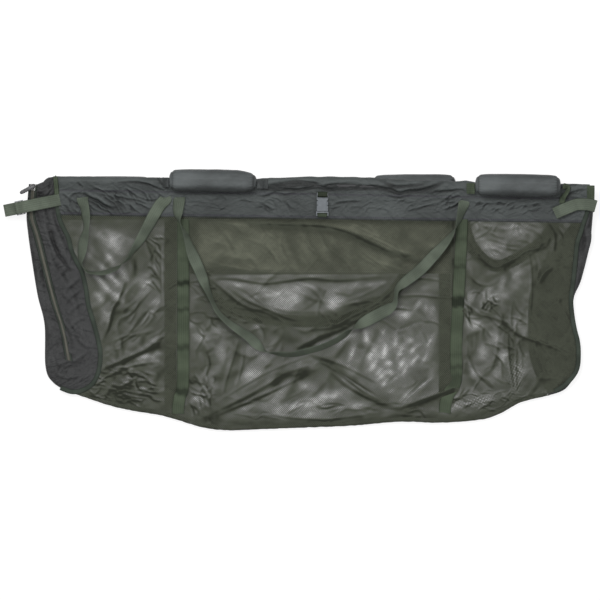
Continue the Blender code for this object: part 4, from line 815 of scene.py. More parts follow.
# Painted shade of broad folds: strength, width in pixels, plan line x, y, ...
BANDS = strokes((
    (0.2, 4.2, 212, 283, 222, 293, 250, 306, 274, 315, 301, 319, 327, 315, 354, 306, 385, 294),
    (0.16, 6, 262, 326, 285, 336, 312, 336, 330, 328), (0.3, 2.4, 296, 350, 318, 338, 345, 322, 363, 313),
    (0.18, 4, 214, 411, 252, 393, 285, 374, 309, 365), (0.18, 3.6, 318, 357, 341, 372, 374, 398, 398, 407),
    (0.18, 3, 240, 342, 236, 362, 229, 384), (0.12, 2.4, 228, 345, 226, 362, 220, 380),
    (0.12, 3, 205, 262, 225, 268, 252, 272, 300, 273),
    (0.16, 3.4, 262, 222, 318, 226, 352, 236, 386, 251, 415, 258),
    (0.16, 3.6, 126, 279, 118, 300, 110, 324, 103, 340), (0.14, 3.4, 162, 296, 145, 312, 128, 336),
    (0.2, 3.4, 102, 372, 126, 361, 150, 349, 161, 342), (0.12, 5, 98, 392, 128, 388, 160, 392),
    (0.12, 3, 200, 288, 214, 300, 226, 316), (0.14, 2.6, 196, 340, 206, 352, 206, 368),
    (0.2, 3.2, 400, 411, 428, 400, 458, 389), (0.08, 4, 440, 300, 440, 340, 436, 372),
    (0.1, 3.6, 500, 322, 522, 337, 556, 349), (0.22, 3.4, 540, 286, 547, 274, 556, 266),
    (0.12, 4, 533, 250, 536, 280, 532, 318, 534, 350), (0.05, 3, 482, 262, 497, 268, 516, 260),
    (0.12, 3.2, 508, 330, 512, 358, 515, 384), (0.12, 3, 476, 284, 486, 292, 480, 304),
    (0.12, 4, 205, 420, 260, 424, 330, 424, 400, 418, 460, 416),
))


def thin_spots(x, y):
    """Density that the net lacks, also over the olive cloth on the rear, whose colour is lightened as
    painted light.
    """
    px, py = pixels(x, y)
    left, right, low = 190, 454, 275
    across = np.clip((px - left) / 10, 0, 1) * np.clip((right - px) / 10, 0, 1)
    return spots(x, y, PATCHES) + across * np.clip((low - py) / 3, 0, 1) * 0.36


# Busier creases and coarser holes in the net: place, half sizes, turn, strength
WILD = ((130, 375, 40, 36, 0, 0.5), (500, 255, 40, 30, 0, 0.35), (205, 400, 16, 30, 0, 0.6),
        (485, 402, 40, 12, 0, 0.6))
COARSE = ((515, 374, 9, 18, 0, 0.5), (474, 402, 24, 6, -8, 0.5))
# Ripples in the middle right of the net: place, half sizes, pitch
RIPPLE = (388, 350, 40, 26, 13.0)
# Flat way that the buckle slides along: place, half sizes
BUCKLE_WAY = (322.6, 226, 15, 24)
# How far the front net runs on under the collar
UNDER = 0.008


def fold_field(x, y):
    """Height in metres, density, small-scale wildness and coarseness of the front net."""
    lift = np.zeros_like(x)
    dense = np.zeros_like(x)
    for line, width, height, extra in FOLDS:
        bell = near(x, y, line, width)
        lift += bell * height / 1000
        dense += bell * extra
    # Painted shade of creases and folds, with painted light on their lit sides, goes into the density and a
    # little into the height
    sharp = drawn(x, y, CREASES) * 1.25 + drawn(x, y, scatter(ZONES)) * 1.5 + drawn(x, y, BANDS)
    px, py = pixels(x, y)
    middle_x, middle_y, wide, tall, pitch = RIPPLE
    window = np.exp(-((px - middle_x) / wide) ** 2 - ((py - middle_y) / tall) ** 2)
    ripple = np.sin(2 * math.pi * (px + 0.28 * (py - middle_y)) / pitch + 0.9)
    sharp -= window * np.clip(ripple, -0.4, 1) * 0.10
    lift += np.clip(sharp, -0.5, 0.5) * 0.0024
    dense += sharp * 1.15 - thin_spots(x, y)
    dense += near(x, y, REAR_SIDE_LOOP, 6.0) * 0.12
    return lift, dense, spots(x, y, WILD, np.full_like(x, 0.34)), spots(x, y, COARSE)


def front_net():
    """Front net with its folds, sewn flat at its rim and flat where the buckle slides."""
    x, y = panel_grid(front_line, FRONT_HEM + UNDER, (LEFT_FRONT, RIGHT_FRONT), (0.0, 1.0), 600, 255)
    below = front_line(x) + FRONT_HEM + LAP - y
    lift, dense, wild, coarse = fold_field(x, y)
    across = np.linspace(0, 1, x.shape[1])[None, :]
    along = np.linspace(0, 1, x.shape[0])[:, None]
    rim = np.clip(np.minimum(across, 1 - across) / 0.02, 0, 1)
    rim = rim * np.clip(np.minimum(below / 0.017, (1 - along) / 0.04), 0, 1)
    lift += rough(x, y, 0.085, 3.0) * 0.0035 + rough(x, y * 0.6, 0.03, 9.0) * 0.0012
    px, py = pixels(x, y)
    way_x, way_y, wide, tall = BUCKLE_WAY
    travel = np.exp(-((px - way_x) / wide) ** 4 - ((py - way_y) / tall) ** 4)
    lift -= np.maximum(lift, 0) * np.minimum(travel * 1.4, 1)
    z = np.maximum(front_z(x, y) + lift * rim, REAR_Z + 0.006)
    under_collar = np.minimum(below, 0) * 0.375
    dense += np.clip((along - 0.93) / 0.05, 0, 1) * 0.14
    cloth("front_net", stacked(x, y, z + under_collar), NET, "front", ("front_mesh",),
          {"dense": dense, "wild": wild, "coarse": coarse})


def rear_net():
    """Rear net, flat on the floor."""
    x, y = panel_grid(rear_line, REAR_HEM, (LEFT_REAR, RIGHT_REAR), (0.0, 0.995), 300, 120)
    dense = rough(x, y, 0.05, 21.0) * 0.08 - thin_spots(x, y) * 0.45
    cloth("rear_net", np.stack((x, y, np.full_like(x, REAR_Z)), -1), NET_REAR, "rear", ("rear_mesh",),
          {"dense": dense, "wild": np.full(x.shape, 0.25)})


front_net()
rear_net()

# Base fold and gussets, soft between the rear and the front


def rounding(turn):
    """Share outwards and share up of a rounded fold, turn 0 at the front and 1 at the rear."""
    angle = turn * math.pi
    out = np.abs(np.sin(angle)) ** (2 / 3)
    up = np.sign(np.cos(angle)) * np.abs(np.cos(angle)) ** (2 / 3)
    return out, up


def folded_heights(x, y, up):
    """Heights at plan points from the rear, at up -1, to the front, at up 1."""
    high = front_z(x, y)
    return ((high + REAR_Z) / 2)[:, None] + ((high - REAR_Z) / 2)[:, None] * up[None, :]


def upward(grid):
    """Normals of a grid, on its upper side."""
    normal = unit(np.cross(np.gradient(grid, axis=1), np.gradient(grid, axis=0)))
    return normal * np.where(normal[..., 2:] < 0, -1, 1)


def base_fold():
    """Net round the base, puckered along its fold."""
    count = 420
    fold = even(metres([BASE_LEFT, *BASE_FOLD, BASE_RIGHT]), count)
    out, up = rounding(np.linspace(0, 1, 17))
    inset = INSET * by_the_ends(np.linspace(0, 1, count))
    y = fold[:, 1][:, None] + inset[:, None] * (1 - out[None, :])
    z = folded_heights(fold[:, 0], fold[:, 1], up)
    x = np.broadcast_to(fold[:, 0][:, None], y.shape)
    pucker = rough(x, z * 3, 0.012, 5.0, 2) * 0.0008
    grid = stacked(x, y - pucker * out[None, :], z)
    uv = np.stack((grid[..., 0], reach_along(grid, 1)), -1)
    values = {"dense": np.full(x.shape, 0.02), "wild": np.full(x.shape, 0.3)}
    return cloth("base_fold", grid, NET, None, ("base_panel",), values, uv)


def gusset_grid(guides, stations, turns):
    """Points of a folded gusset at stations x turns."""
    front, fold, rear = (spline(metres(g), stations) for g in guides)
    out, up = rounding(turns)
    seam = np.where((turns <= 0.5)[None, :, None], front[:, None], rear[:, None])
    spot = seam + (fold[:, None] - seam) * out[None, :, None]
    height = folded_heights(front[:, 0], front[:, 1], up)
    return np.concatenate((spot, height[..., None]), -1)


# Wrinkles, pushed in and painted as shade with a painted lit side, painted light where the strength is
# negative: strength, width in pixels, plan line x, y, ...
GUSSET_LINES = strokes((
    (0.45, 1.6, 52, 205, 55, 222, 63, 240, 70, 258), (1, 2, 50, 228, 53, 241, 57, 252, 64, 262, 70, 272),
    (0.5, 1.6, 46, 222, 50, 236, 56, 250), (0.35, 1.4, 50, 250, 54, 262, 60, 272, 68, 282),
    (0.35, 1.4, 44, 200, 46, 215, 50, 226), (0.3, 1.4, 58, 290, 66, 300, 76, 306),
    (0.3, 1.3, 66, 318, 74, 330, 84, 338), (0.35, 1.4, 48, 360, 60, 366, 76, 364, 90, 358),
    (0.3, 1.3, 52, 374, 66, 380, 82, 376), (0.25, 1.3, 60, 340, 66, 352, 76, 358),
    (0.3, 1.3, 34, 196, 40, 192, 48, 190), (0.3, 1.6, 40, 300, 44, 320, 46, 345),
    (0.25, 1.6, 70, 285, 76, 300, 80, 320), (0.25, 1.5, 38, 260, 42, 280, 46, 300),
    (0.25, 1.2, 50, 184, 44, 188, 38, 188), (0.5, 1.4, 64, 294, 72, 286, 81, 279),
    (0.45, 1.4, 66, 304, 74, 296, 83, 290), (0.4, 1.4, 68, 316, 76, 308, 85, 303),
    (0.35, 1.3, 70, 330, 78, 322, 88, 318), (0.5, 1.5, 60, 276, 68, 270, 75, 270),
    (0.4, 1.5, 56, 262, 62, 270, 66, 282), (0.6, 1.2, 58, 366, 66, 363, 78, 361, 88, 352),
    (0.4, 1, 60, 370, 70, 367, 80, 366), (0.3, 1.3, 52, 352, 56, 362, 58, 372),
    (0.4, 1.4, 74, 334, 80, 344, 88, 350), (0.3, 1.6, 62, 322, 70, 336, 72, 350),
    (0.3, 1.3, 32, 200, 36, 212, 40, 226),
))
# The first line paints light on the right gusset's bulge, the others paint shade in wrinkles
RIGHT_LINES = strokes((
    (-1.4, 2.6, 587, 228, 590, 241, 587, 254), (0.4, 1.6, 583, 262, 580, 278, 576, 292),
    (0.5, 1.6, 592, 212, 590, 224, 584, 234),
))
# Drop of the upper edge: x, drop, in pixels
LEFT_TOP = ((28, 0), (33, 1.4), (37, 3.2), (43.4, 2.7), (45, 1.2), (48, 0), (52, 0.7), (56, 1.5))
RIGHT_TOP = ((0, 0), (600, 0))


def gusset(name, guides, node, seed, amount, lines, top):
    """Wrinkled nylon gusset that bends between the rear and the front, with painted shade in its wrinkles.
    """
    stations = np.linspace(0, len(guides[0]) - 1, 190)
    near_half = np.arcsin(np.linspace(0, 1, 60) ** 1.5) / math.pi
    turns = np.concatenate((near_half, 1 - near_half[::-3][1:]))
    grid = gusset_grid(guides, stations, turns)
    normal = upward(grid) * (turns <= 0.5)[None, :, None]
    u = reach_along(grid, 1)
    v = reach_along(grid, 0)
    bend = rough(u * 1.9, v, 0.055, seed)
    long_lines = creases(u, v, 62, 0.050, 0.25, seed + 4, 0.15)
    cross_lines = creases(u, v, -20, 0.028, 0.32, seed + 9, 0.16)
    share = np.where(turns <= 0.5, np.sin(turns * math.pi), 0) ** (2 / 3)
    fade = np.clip(np.minimum(share / 0.07, (1 - share) / 0.05), 0, 1)[None, :]
    fold = drawn(grid[..., 0], grid[..., 1], lines)
    push = (bend * 0.7 + 0.3 - long_lines * 0.8 - cross_lines * 0.5 - fold * 0.9) * amount * fade
    grid = grid + normal * push[..., None]
    # Painted shade in the wrinkles, with painted light on the drawn lines' lit sides
    shade = long_lines * 0.32 + cross_lines * 0.16 + fold * fade * 1.5
    start = np.clip(1 - stations, 0, 1)[:, None] * fade
    px, _ = pixels(grid[..., 0], grid[..., 1])
    grid[..., 1] -= np.interp(px, *zip(*top)) * K * start
    return cloth(name, grid, GUSSET, None, (node,), {"shade": shade}, stacked(u, v))


base = base_fold()
left_gusset = gusset("gusset_left", LEFT_GUIDES, "left_gusset", seed=2.0, amount=0.0030,
                     lines=GUSSET_LINES, top=LEFT_TOP)
right_gusset = gusset("gusset_right", RIGHT_GUIDES, "right_gusset", seed=8.0, amount=0.0012,
                      lines=RIGHT_LINES, top=RIGHT_TOP)
for obj in (base, left_gusset, right_gusset):
    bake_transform(obj)

# Collars: band, stitch line and pole sleeve


def collar_rows(pole_z, stitch_z, hem_rows, arc_steps):
    """Profile from the hem to the stitch line and round the pole, as (rise, height)."""
    middle = SLEEVE_R - CLOTH_T / 2
    low, high = stitch_z - pole_z, stitch_z + CLOTH_T + GAP - pole_z
    start = math.atan2(low, STITCH) % (2 * math.pi) + math.acos(middle / math.hypot(STITCH, low))
    stop = math.atan2(high, STITCH) % (2 * math.pi) - math.acos(middle / math.hypot(STITCH, high))
    stop += 2 * math.pi
    arc = [(middle * math.cos(angle), pole_z + middle * math.sin(angle))
           for angle in np.linspace(stop, start, arc_steps)]
    between = np.linspace(hem_rows[-1], arc[0], 14)[1:-1]
    return np.concatenate((hem_rows, between, arc, [(STITCH, stitch_z)]))


def collar(name, line, rows, guides, mat, body, node, columns, amount, billow=((0, 0), (600, 0)), tucks=(),
           crumples=(), shadows=()):
    """Collar cloth with its gathers and small wrinkles, and painted shade and light over them."""
    left = x_on(guides[0], line(HEM_ENDS[0]) + rows[:, 0]) + EASE
    right = x_on(guides[-1], line(HEM_ENDS[1]) + rows[:, 0]) - EASE
    s = np.linspace(0, 1, columns)[:, None]
    x = left[None, :] + (right - left)[None, :] * s
    rise, height = (np.broadcast_to(values[None, :], x.shape) for values in rows.T)
    px, _ = pixels(x, rise)
    more = np.interp(px, *zip(*billow)) * K
    rise = rise + more * np.clip((rise - STITCH) / (SLEEVE_R - STITCH), 0, 1) ** 2
    y = line(x) + rise
    grid = stacked(x, y, height)
    v = reach_along(grid, 1)
    normal = unit(np.cross(np.gradient(grid, axis=0), np.gradient(grid, axis=1)))
    bend = rough(x, v * 0.55, 0.050, 31.0)
    crumple = 0.10 + spots(x, y, crumples)
    long_lines = creases(x, v, -24, 0.060, 0.22, 37.0, 0.10)
    cross_lines = creases(x, v, -46, 0.026, 0.30, 43.0, 0.12)
    cut = (long_lines * 0.0018 + cross_lines * 0.0012) * crumple
    shown = v < 0.085
    sharp = drawn(x, y, tucks) * shown
    loft = np.clip(normal[..., 2], 0, 1) * 0.0016
    push = loft + bend * 0.55 * amount - cut * amount / 0.0030 - np.clip(sharp, -0.5, 0.8) * 0.0042
    # Painted shade in the creases and gathers with painted light on their lit sides, darker along the hem's
    # edge, painted shade along the sleeve's stitch line, and painted shadows and light from the shadows
    # table
    shade = (long_lines * 0.24 + cross_lines * 0.20) * crumple + sharp * 1.45
    hem_edge, stitch_line = (np.exp(-((v - row) / 0.0012) ** 2) for row in (0.0012, STITCH_ROW))
    shade += 0.8 * hem_edge + 0.35 * stitch_line
    for *place, dark in shadows:
        shade += blob(x, y, *place) * dark * shown * 1.25
    push = np.where(rise > STITCH + 0.002, np.maximum(push, -0.0003), push) * np.clip(v / 0.008, 0, 1)
    grid = grid + normal * push[..., None]
    return cloth(name, grid, mat, body, (node,), {"shade": shade}, stacked(x, v))


hem = [(STITCH - BAND_W * (1 - k), float(front_z(0.0, LINE_Y + STITCH - BAND_W * (1 - k))) + ABOVE_NET)
       for k in np.linspace(0, 1, 40)]
front_rows = collar_rows(POLE_Z, POLE_Z - EASE, hem, 40)
# How far the sleeve stands out toward the mouth: x, distance, in pixels
BILLOW = [(0, 0), (255, 0), (262, 1.2), (275, 1.5), (290, 2.6), (312, 3.4), (370, 3.6), (384, 2.4),
          (455, 1.0), (466, 1.8), (476, 0), (600, 0)]
# Gathers, pushed in and painted as shade with a painted lit side: zones of creases like those of the net,
# then strength, width in pixels, plan line x, y, ...
TUCKS = scatter((
    (31, 100, 203, 42, 11, 34, 36, 14, 16, 0.34, 0.9), (32, 142, 200, 22, 12, 16, 40, 16, 15, 0.3, 0.9),
    (33, 74, 208, 12, 8, 12, 60, 30, 9, 0.3, 0.8), (34, 215, 203, 44, 5, 16, 4, 14, 16, 0.2, 0.9),
    (35, 390, 206, 60, 7, 26, -12, 16, 14, 0.24, 0.9), (36, 520, 205, 42, 3, 26, -14, 16, 10, 0.34, 0.9),
    (37, 520, 212, 40, 2, 18, -18, 12, 9, 0.24, 0.8), (38, 575, 193, 12, 9, 12, -24, 20, 12, 0.3, 1),
    (39, 275, 206, 16, 7, 10, 24, 24, 14, 0.24, 1), (40, 455, 203, 16, 10, 14, -30, 24, 12, 0.28, 0.9),
)) + strokes((
    (0.85, 1.5, 83, 193, 90, 198, 98, 201.5, 103, 205, 114, 210),
    (0.55, 1.3, 117, 183, 132, 182.3, 146, 184, 155, 187, 165, 190.5),
    (0.4, 1.2, 92, 188, 103, 191.4, 119, 192.5), (0.55, 1.2, 112, 196, 123, 198.6, 136, 200.5),
    (0.5, 1.1, 136, 203, 144, 207, 150, 211), (0.5, 1, 127, 204, 135, 210), (0.45, 1, 148, 193, 153, 202),
    (0.45, 1, 137, 197, 146, 200, 155, 201.5), (0.4, 1.1, 77, 182, 83, 188),
    (0.45, 1.1, 69, 199, 75, 194, 85, 194), (0.4, 1.1, 155, 176, 161, 182, 166, 190),
    (0.4, 1, 160, 177, 165, 184, 168, 191),
    (1, 2.2, 262, 188, 272, 186, 282, 184.5, 292, 182.5, 301, 182, 312, 184.5, 322, 186),
    (0.8, 1.5, 264, 190, 280, 189.5, 298, 190, 318, 187.5, 330, 190, 345, 188, 362, 189),
    (0.7, 1.9, 318, 185, 332, 186.5, 348, 184.5, 366, 186, 380, 185),
    (0.9, 1.8, 355, 189, 378, 188, 392, 191, 400, 193.5, 412, 190),
    (0.8, 1.8, 405, 192, 422, 190.5, 436, 186, 444, 182),
    (0.6, 1.6, 384, 183, 396, 187, 410, 186, 424, 184), (0.4, 1.2, 274, 193, 284, 195, 296, 193),
    (0.5, 1.2, 388, 196, 398, 198, 412, 195), (0.4, 1.3, 283, 187, 296, 184, 308, 183, 320, 184),
    (0.4, 1.3, 323, 187, 334, 184, 348, 184), (0.55, 1.2, 256, 196, 264, 196.5, 275, 193),
    (0.5, 1.1, 258, 204, 264, 205, 272, 211), (0.5, 1.1, 332, 207, 338, 203.5, 350, 202, 362, 201.5),
    (0.5, 1.1, 408, 211, 418, 209, 428, 206, 438, 206), (0.45, 1.2, 434, 192, 450, 191, 462, 190, 468, 194),
    (0.4, 1.2, 436, 199, 450, 199, 460, 196), (0.45, 1.1, 448, 209, 456, 206, 464, 200),
    (0.55, 1.4, 560, 199, 572, 193, 584, 189), (0.4, 1.2, 566, 188, 576, 184, 586, 183),
    (0.45, 1.2, 255, 178, 259, 186, 264, 190),
))
# More wrinkles, with more painted shade in their folds: place, half sizes, turn, strength
CRUMPLES = ((110, 203, 50, 14, 0, 0.7), (262, 192, 10, 12, 0, 0.5), (575, 192, 12, 10, 0, 0.5),
            (165, 182, 10, 8, 0, 0.4))
# Painted shadows under the sleeve's folds, and painted light where the darkness is negative: place, half
# sizes, turn, darkness
SHADOWS = (
    (277, 188.8, 13, 2.2, -3, 0.95), (293, 186.2, 9, 2.4, -14, 0.8), (309, 184.8, 10, 2.8, -16, 1.05),
    (334, 187, 12, 3, 0, 1.05), (352, 188, 10, 2, 0, 0.7), (371, 187, 18, 2.5, -3, 0.95),
    (392, 188.6, 6, 3.4, 20, 0.9), (418, 188.8, 16, 2.4, -14, 0.95), (441, 190.8, 12, 1.5, -6, 0.65),
    (105, 206, 18, 6, 12, 0.22), (74, 206, 10, 10, 0, 0.16), (120, 190, 34, 8, 8, 0.06),
    (214, 193, 44, 1.6, 0, 0.35), (518, 198.4, 44, 1.6, 0, 0.35), (248, 206, 56, 9, 0, 0.26),
    (118, 208, 26, 8, 0, 0.2), (90, 190, 24, 10, 0, 0.1), (300, 202, 60, 6, 0, -0.1),
    (120, 180, 40, 3, 0, -0.06),
)
collar("collar_front", front_line, front_rows, (LEFT_FRONT, RIGHT_FRONT), COLLAR, "front", "front_collar",
       columns=700, amount=0.0030, billow=BILLOW, tucks=TUCKS, crumples=CRUMPLES, shadows=SHADOWS)
rear_hem = [(STITCH - REAR_BAND_W * (1 - k), REAR_Z + EASE) for k in np.linspace(0, 1, 8)]
rear_rows = collar_rows(REAR_POLE_Z, REAR_Z, rear_hem, 24)
collar("collar_rear", rear_line, rear_rows, (LEFT_REAR, RIGHT_REAR), NYLON, "rear", "rear_collar",
       columns=300, amount=0.0006)

# Left, right and low edge of the olive cloth from the middle of the plan, in pixels
OLIVE_EDGES = (-110, 152, 26)


def olive_cloth():
    """Olive cloth over the middle of the rear net."""
    left, right, low = (edge * K for edge in OLIVE_EDGES)
    s = np.linspace(0, 1, 130)[None, :]
    t = np.linspace(0, 1, 30)[:, None]
    x = np.broadcast_to(left * (1 - s) + right * s, (len(t), s.shape[1]))
    y = (rear_line(x) + REAR_HEM) * (1 - t) + low * t
    z = REAR_Z + ABOVE_NET + np.abs(rough(x, y, 0.04, 12.0)) * 0.0008
    shade = np.clip(rough(x, y, 0.05, 14.0), 0, 1) * 0.3
    cloth("rear_centre_cloth", stacked(x, y, z), OLIVE_LIT, "rear", ("rear_centre_panel",), {"shade": shade},
          stacked(x, (1 - t) * 0.09))


olive_cloth()

# Webbing paths


def lean(points, i):
    """Roll that lays a band flat on the front's slope."""
    reach = 0.003
    a, b = points[max(i - 1, 0)], points[min(i + 1, len(points) - 1)]
    run = Vector((b[0] - a[0], b[1] - a[1])).normalized()
    x, y = points[i][:2]
    rise = front_top(x - run.y * reach, y + run.x * reach)
    fall = front_top(x + run.y * reach, y - run.x * reach)
    return math.degrees(math.atan2(rise - fall, 2 * reach))


def lying(guide, thick, clear=EASE):
    """Centre line on the front's upper surface."""
    points = metres(guide)
    return [(x, y, front_top(x, y) + clear + thick / 2, lean(points, i))
            for i, (x, y, *_) in enumerate(points)]


def raised(guide):
    """Centre line of a loose handle that lies on the front, higher where it stands on edge."""
    points = metres(guide)
    last = len(points) - 1
    path = []
    for i, (x, y, roll) in enumerate(points):
        if i in (0, last):
            path.append((x, y, front_top(x, y) + GAP + WEB_T / 2, lean(points, i)))
            continue
        edge = WEB_W / 2 * abs(math.sin(math.radians(roll)))
        lift = 0.003 if i in (1, last - 1) else 0.005
        path.append((x, y, front_top(x, y) + lift - MESH_T / 2 + edge, roll))
    return path


def floor_path(guide):
    """Centre line of webbing that lies on the floor."""
    return [(x, y, WEB_T / 2, 0.0) for x, y, *_ in metres(guide)]


def web(name, path, mat, body, node, **more):
    """The sling's 25 mm webbing."""
    return ribbon(name, path, WEB_W, WEB_T, mat, body, (node,), **more)


# Loose handles and loops: x, y, roll
FRONT_HANDLE = [(179.2, 197.3, 0), (179.2, 200.6, 15), (178, 212, 35), (179.8, 222.4, 85),
                (185.5, 234.6, 114), (189.3, 245.8, 134), (193.5, 257, 162), (198.5, 268, 160),
                (203, 279, 149), (207.4, 290, 122), (212.2, 301.6, 111), (218.3, 312.8, 114),
                (230, 324, 122), (247.5, 336, 141), (256, 343.5, 150), (265.4, 351.3, 100),
                (277, 353.6, 72), (290, 354.6, 66), (302, 352.5, 58),
                (320, 347.6, 60), (336, 340.5, 60), (346, 333.5, 62), (353, 329, 90), (362, 323.5, 145),
                (376, 316, 178), (388, 309.5, 155), (394.5, 304, 120), (395.8, 297, 109), (397.5, 289, 117),
                (405, 282, 145), (420, 270, 161), (433, 256.5, 155), (443, 245.5, 137), (451, 235.5, 114),
                (454.8, 229.5, 95), (458.5, 221, 66), (461.5, 211, 45), (463.9, 203.6, 20), (464, 200.2, 15)]
FRONT_SIDE_LOOP = [(82.2, 197.5, 0), (82.8, 201.5, 25), (84.8, 207.5, 41), (86, 216, 46), (86.5, 223, 58),
                   (86, 230, 60), (84.5, 237, 46), (82.8, 244, 35), (82, 251, 42), (81, 258, 60),
                   (80.8, 262.4, 73), (83, 267.5, 90), (88, 272, 102), (96.7, 273.2, 107), (105, 272.4, 114),
                   (112, 270, 114), (117.7, 267.4, 109), (121.9, 263.8, 90), (128.2, 258.2, 76),
                   (132.5, 251, 66), (139.8, 240.5, 42), (147.5, 227, 26), (154.2, 214.5, 10),
                   (160.5, 204.5, 10), (165.6, 199.5, 5), (165.8, 196.5, 0)]
# Webbing and bindings that lie flat: x, y
REAR_HANDLE = [(190, 212), (192, 232), (199, 262), (207, 288), (219, 303), (239, 312), (262, 318),
               (290, 321), (320, 321), (345, 319), (368, 310), (390, 296), (407, 272), (420, 242),
               (426, 212)]
STRAP_LEFT = [(183, 219), (183, 260), (183, 300), (183, 344), (182.5, 386), (179.5, 398), (178, 408),
              (178, 414)]
STRAP_RIGHT = [(462, 219), (461, 250), (458.5, 300), (456.5, 344), (456, 380), (449, 394), (446, 404),
               (445, 413)]
LEFT_BINDING = [(55.6, 177.6), (55.9, 179.5), (56.2, 182), (56.5, 184.5), (56.8, 187), (57, 190),
                (57.2, 193), (57.2, 199), (57, 206), (60, 221), (67.6, 237), (71.4, 251), (76.5, 262),
                (81.6, 272), (85.5, 288), (88, 305), (93, 322), (98, 341), (100, 356), (98, 372), (92, 384),
                (82, 390.5), (71.4, 392), (60, 388)]
RIGHT_BINDING = [(588, 206), (587, 213), (584, 222), (581, 232), (577.5, 243), (576, 257), (574, 278),
                 (571.5, 298), (572.5, 314), (575, 329), (578, 341), (579, 353), (578, 367), (573, 377),
                 (564, 386), (555, 391.5)]

REAR_STRAPS = {"left": [(170.2, 213), (170.2, 300), (170.2, 408)],
               "right": [(445, 213), (445, 300), (445, 408)]}
LEFT_TAPE = [(55.4, 176.4), (55.6, 180), (56, 185), (56.4, 190), (56.9, 197), (57.3, 205)]
RIGHT_TAPE = [(590.7, row) for row in (185.6, 186.8, 188.5, 191, 193.5, 196, 198.5, 203)]
# Shadows across the straps: lowest row, highest row, darkness
LEFT_MARKS = ((280, 286, 1.1), (307, 312, 0.8), (344, 351, 0.65), (388, 396, 0.8))
RIGHT_MARKS = ((236, 242, 0.25), (264, 269, 0.7), (296, 308, 0.95), (353, 356, 0.5), (364, 370, 0.6),
               (374, 388, 0.35))

web("handle_front", raised(FRONT_HANDLE), WEB_LOOP, "front_handle", "front_handle")
web("side_loop_front", raised(FRONT_SIDE_LOOP), WEB_LOOP, "front_side_loop", "front_side_loop")
web("handle_rear", floor_path(REAR_HANDLE), WEB, "rear_handle", "rear_handle")
web("side_loop_rear", floor_path(REAR_SIDE_LOOP), WEB_LIT_UNDER_NETS, "rear_side_loop", "rear_side_loop")
web("strap_front_left", lying(STRAP_LEFT, WEB_T), WEB, "front", "front_strap_left", marks=LEFT_MARKS,
    wave=0.0005)
web("strap_front_right", lying(STRAP_RIGHT, WEB_T), WEB, "front", "front_strap_right", marks=RIGHT_MARKS,
    wave=0.0005)
for side_name, guide in REAR_STRAPS.items():
    web(f"strap_rear_{side_name}", floor_path(guide), WEB, "rear", f"rear_strap_{side_name}")

path = lying(LEFT_BINDING, TAPE_T)
path[-1] = (*path[-1][:2], path[-1][2] - 0.002, 0.0)
ribbon("binding_front_left", path, BIND_W, BIND_T, BIND, "front", ("front_binding_left",), crown=SEAM_T)
ribbon("binding_front_right", lying(RIGHT_BINDING, TAPE_T, clear=0.0016), BIND_W, BIND_T, BIND, "front",
       ("front_binding_right",), crown=SEAM_T)
for side_name, guide in (("left", LEFT_REAR), ("right", RIGHT_REAR)):
    path = [(x, y, REAR_Z + BIND_T, 0.0) for x, y in metres(guide)[2:-1]]
    ribbon(f"binding_rear_{side_name}", path, BIND_W, TAPE_T, BIND, "rear", (f"rear_binding_{side_name}",))
ribbon("end_tape_right", lying(RIGHT_TAPE, TAPE_T, clear=SEAM_T), width=0.0156, thick=TAPE_T, mat=WEB,
       body="front", nodes=("right_end_tape",))
ribbon("end_tape_left", lying(LEFT_TAPE, TAPE_T, clear=0.0026), width=0.0088, thick=0.0010, mat=WEB,
       body="front")

# End strap and tail on the left, flap on the right

# Sewn end of the left strap, its far fold and the end of its tail
STRAP_ENDS = [(60, 199.6), (15.8, 208.5), (4.2, 211.3)]
# Its fold: share of the way out, height over the sewn end
PROFILE = ((0.0, 0.0), (0.10, 0.0), (0.20, 0.0020), (0.28, 0.0044), (0.36, 0.0058), (0.55, 0.0070),
           (0.75, 0.0072), (0.92, 0.0068), (0.985, 0.0062), (1.0, 0.0018), (0.985, -0.0025), (0.93, -0.0029),
           (0.85, -0.0029))
# Flap on the right, from its sewn end: x, y
FLAP = [(595.8, 206.5), (588, 204.6), (578, 204.4), (572, 206), (566, 208.5), (560, 211), (554.5, 213.6)]


def left_end_strap():
    """Strap that folds back at the tri-glide, and its tail below."""
    start, stop, end = metres(STRAP_ENDS)
    run = Vector((stop[0] - start[0], stop[1] - start[1], 0.0))
    reach = run.length
    run.normalize()
    over = (-run.y, run.x, 0.0)
    sewn_z = front_top(start[0], start[1] + WEB_W / 2) + TAPE_T + SEAM_T + WEB_T / 2
    tail = (end[0] - start[0]) / run.x / reach
    tail_profile = [(share, -0.0075) for share in (0.80, 0.88, 0.96, (0.96 + tail) / 2, tail)]
    folded, hanging = (
        [(start[0] + run.x * reach * share, start[1] + run.y * reach * share, sewn_z + drop, 0.0)
         for share, drop in profile] for profile in (PROFILE, tail_profile))
    web("end_strap_left", folded, WEB_LOOP, "left_end_strap", "left_end_strap", side=over, pace=0.0012)
    web("end_strap_tail", hanging, WEB_LOOP, "left_end_strap", "left_strap_tail", side=over)


def right_end_strap():
    """Strap that is sewn on and folded back over itself."""
    points = metres(FLAP)
    low = front_top(points[1][0], points[1][1] + WEB_W / 2) + 2 * TAPE_T + SEAM_T
    base = [(x, y, low + WEB_T / 2, 0.0) for x, y in points[:3]]
    flap = [(x, y, low + WEB_T * 1.5 + EASE, 0.0) for x, y in points]
    web("end_flap_base", base, WEB, "front", "right_strap_base")
    web("end_flap", flap, WEB_LOOP, "right_end_strap", "right_end_strap")


left_end_strap()
right_end_strap()

# Floats

FRONT_FLOAT_Z = 0.07873
REAR_FLOAT_Z = 0.01933
VOXEL = 0.004
PRESSURE = 4.0
GROWTH = 0.006
FRAMES = 20


def points_of(mesh):
    """Places of a mesh's points."""
    flat = np.empty(len(mesh.vertices) * 3, np.float32)
    mesh.vertices.foreach_get("co", flat)
    return flat.reshape(-1, 3).astype(float)


